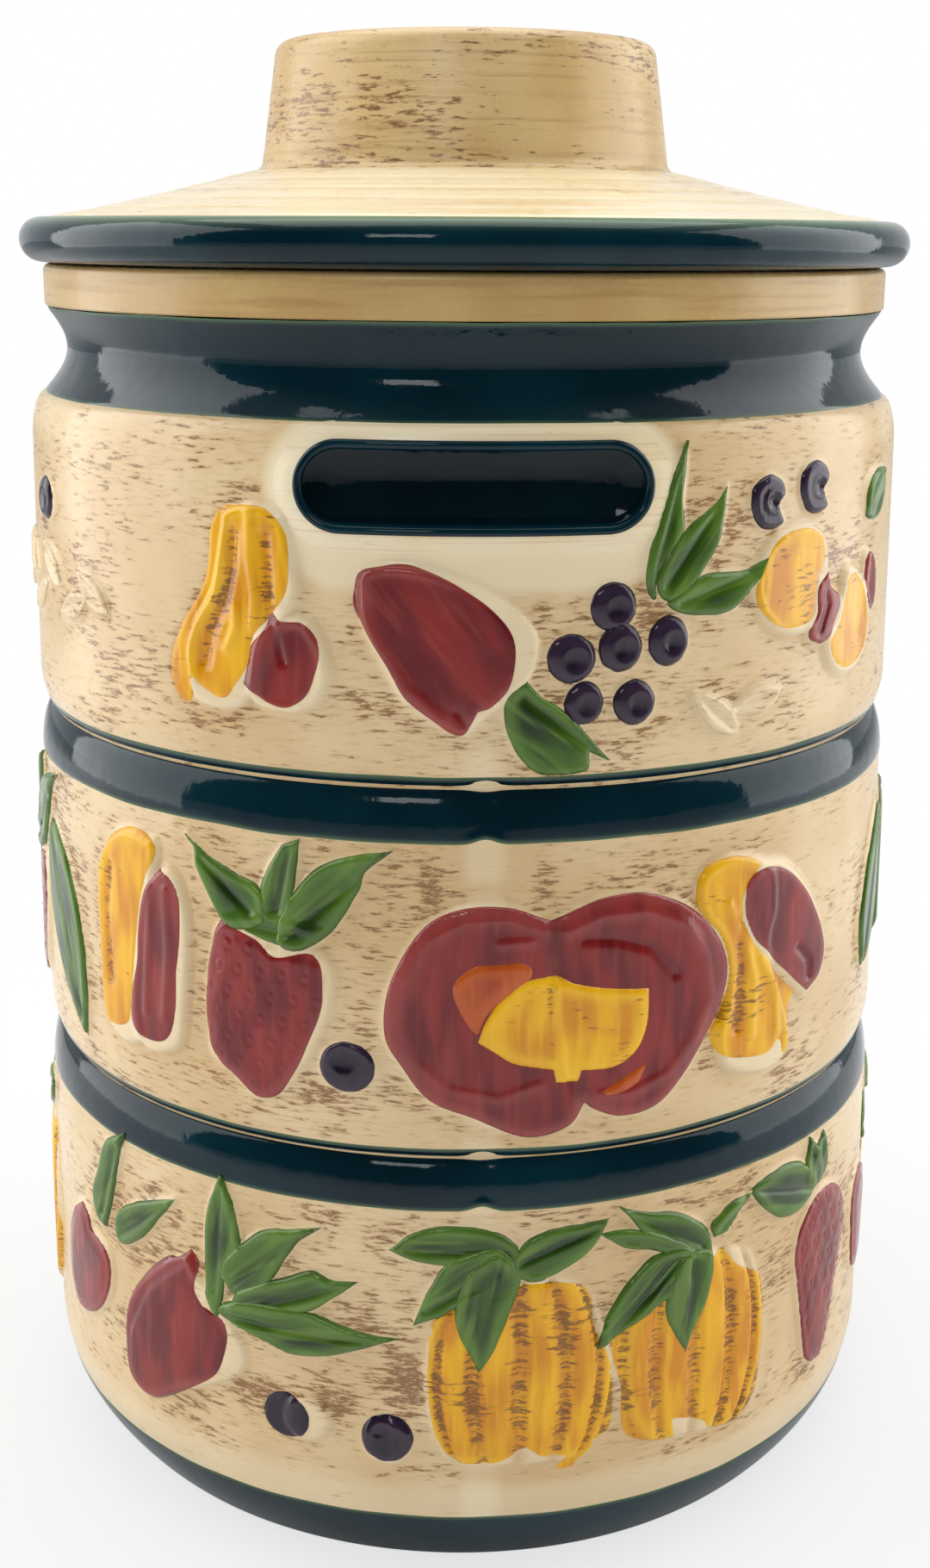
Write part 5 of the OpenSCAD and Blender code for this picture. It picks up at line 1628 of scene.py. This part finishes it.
def studio():
    """A pale floor, soft lamps from both sides and above, and a white background."""
    floor_mesh = bpy.data.meshes.new("floor")
    floor_mesh.from_pydata([(-4, -4, 0), (4, -4, 0), (4, 4, 0), (-4, 4, 0)], [], [(0, 1, 2, 3)])
    floor = bpy.data.objects.new("floor", floor_mesh)
    bpy.context.scene.collection.objects.link(floor)
    material, tree, shader = new_material("floor_white")
    shader.inputs["Base Color"].default_value = (0.8, 0.8, 0.8, 1)
    shader.inputs["Roughness"].default_value = 0.7
    glow = add(tree, "Emission", Color=(1, 1, 1, 1), Strength=1.0)
    mix = tree.nodes.new("ShaderNodeMixShader")
    rays = tree.nodes.new("ShaderNodeLightPath")
    away = add(tree, "VectorMath", operation="LENGTH")
    tree.links.new(add(tree, "TexCoord").outputs["Object"], away.inputs[0])
    share = ramp(tree, away.outputs["Value"], 0.10, 0.40, 0.72, 1.0)
    tree.links.new(maths(tree, "MULTIPLY", rays.outputs["Is Camera Ray"], share), mix.inputs[0])
    tree.links.new(shader.outputs[0], mix.inputs[1])
    tree.links.new(glow.outputs[0], mix.inputs[2])
    out = next(n for n in tree.nodes if n.type == "OUTPUT_MATERIAL")
    tree.links.new(mix.outputs[0], out.inputs["Surface"])
    floor_mesh.materials.append(material)

    world = bpy.data.worlds.new("studio")
    bpy.context.scene.world = world
    world.use_nodes = True
    tree = world.node_tree
    tree.nodes.clear()
    ambient = add(tree, "Background", Color=(0.97, 0.98, 1.0, 1))
    white = add(tree, "Background", Color=(1, 1, 1, 1), Strength=1.0)
    mix = tree.nodes.new("ShaderNodeMixShader")
    rays = tree.nodes.new("ShaderNodeLightPath")
    split = tree.nodes.new("ShaderNodeSeparateXYZ")
    tree.links.new(add(tree, "TexCoord").outputs["Generated"], split.inputs[0])
    reflected = ramp(tree, split.outputs["Y"], -0.45, 0.5, 0.03, 0.7)
    glossy = rays.outputs["Is Glossy Ray"]
    plain = maths(tree, "MULTIPLY", maths(tree, "SUBTRACT", 1.0, glossy), 0.5)
    strength = maths(tree, "ADD", plain, maths(tree, "MULTIPLY", glossy, reflected))
    tree.links.new(strength, ambient.inputs["Strength"])
    seen = maths(tree, "ADD", rays.outputs["Is Camera Ray"], rays.outputs["Is Transmission Ray"], True)
    tree.links.new(seen, mix.inputs[0])
    tree.links.new(ambient.outputs[0], mix.inputs[1])
    tree.links.new(white.outputs[0], mix.inputs[2])
    out = tree.nodes.new("ShaderNodeOutputWorld")
    tree.links.new(mix.outputs[0], out.inputs["Surface"])

    middle = Vector((0, 0, 0.15))
    for name, place, size, power in (
        ("left_box", (-0.85, 0.10, 0.40), (0.8, 1.3), 7.4),
        ("right_box", (0.85, 0.10, 0.40), (0.8, 1.3), 6.8),
        ("top_box", (0.0, 0.15, 1.1), (1.0, 0.8), 5.0),
        ("front_window", (-0.28, -0.95, 0.80), (0.30, 0.22), 1.0),
    ):
        lamp = bpy.data.lights.new(name, "AREA")
        lamp.shape = "RECTANGLE"
        lamp.size, lamp.size_y = size
        lamp.energy = power
        holder = bpy.data.objects.new(name, lamp)
        bpy.context.scene.collection.objects.link(holder)
        holder.location = place
        holder.rotation_mode = "QUATERNION"
        holder.rotation_quaternion = (middle - Vector(place)).to_track_quat("-Z", "Y")


def camera():
    """The photograph's viewpoint."""
    distance, height, pitch, view_angle, yaw, roll = 0.436, 0.2634, 15.52, -1.25, 0.106, 0.37
    data = bpy.data.cameras.new("camera")
    data.sensor_width = 36
    data.lens = 45.55
    data.clip_start, data.clip_end = 0.01, 50
    holder = bpy.data.objects.new("camera", data)
    bpy.context.scene.collection.objects.link(holder)
    turn = math.radians(view_angle)
    heading, down = math.radians(yaw) - turn, math.radians(pitch)
    ahead = Vector((math.sin(heading) * math.cos(down), math.cos(heading) * math.cos(down), -math.sin(down)))
    right = ahead.cross(Vector((0, 0, 1))).normalized()
    up = right.cross(ahead)
    look = Matrix((right, up, -ahead)).transposed().to_4x4() @ Matrix.Rotation(math.radians(roll), 4, "Z")
    place = Matrix.Translation((distance * math.sin(turn), -distance * math.cos(turn), height))
    holder.matrix_world = place @ look
    bpy.context.scene.camera = holder


def build():
    """The studio and every piece of the jar and the lid."""
    studio()
    camera()
    walls()
    jar_base()
    coloured_bands()
    mouth_rim()
    grip_linings()
    grip_housings()
    grip_frames()
    lid_shell()
    lid_roll()
    lid_flange()
    knob()
    painted_ornaments()


build()
bpy.context.scene.view_settings.view_transform = "Standard"
bpy.context.view_layer.update()
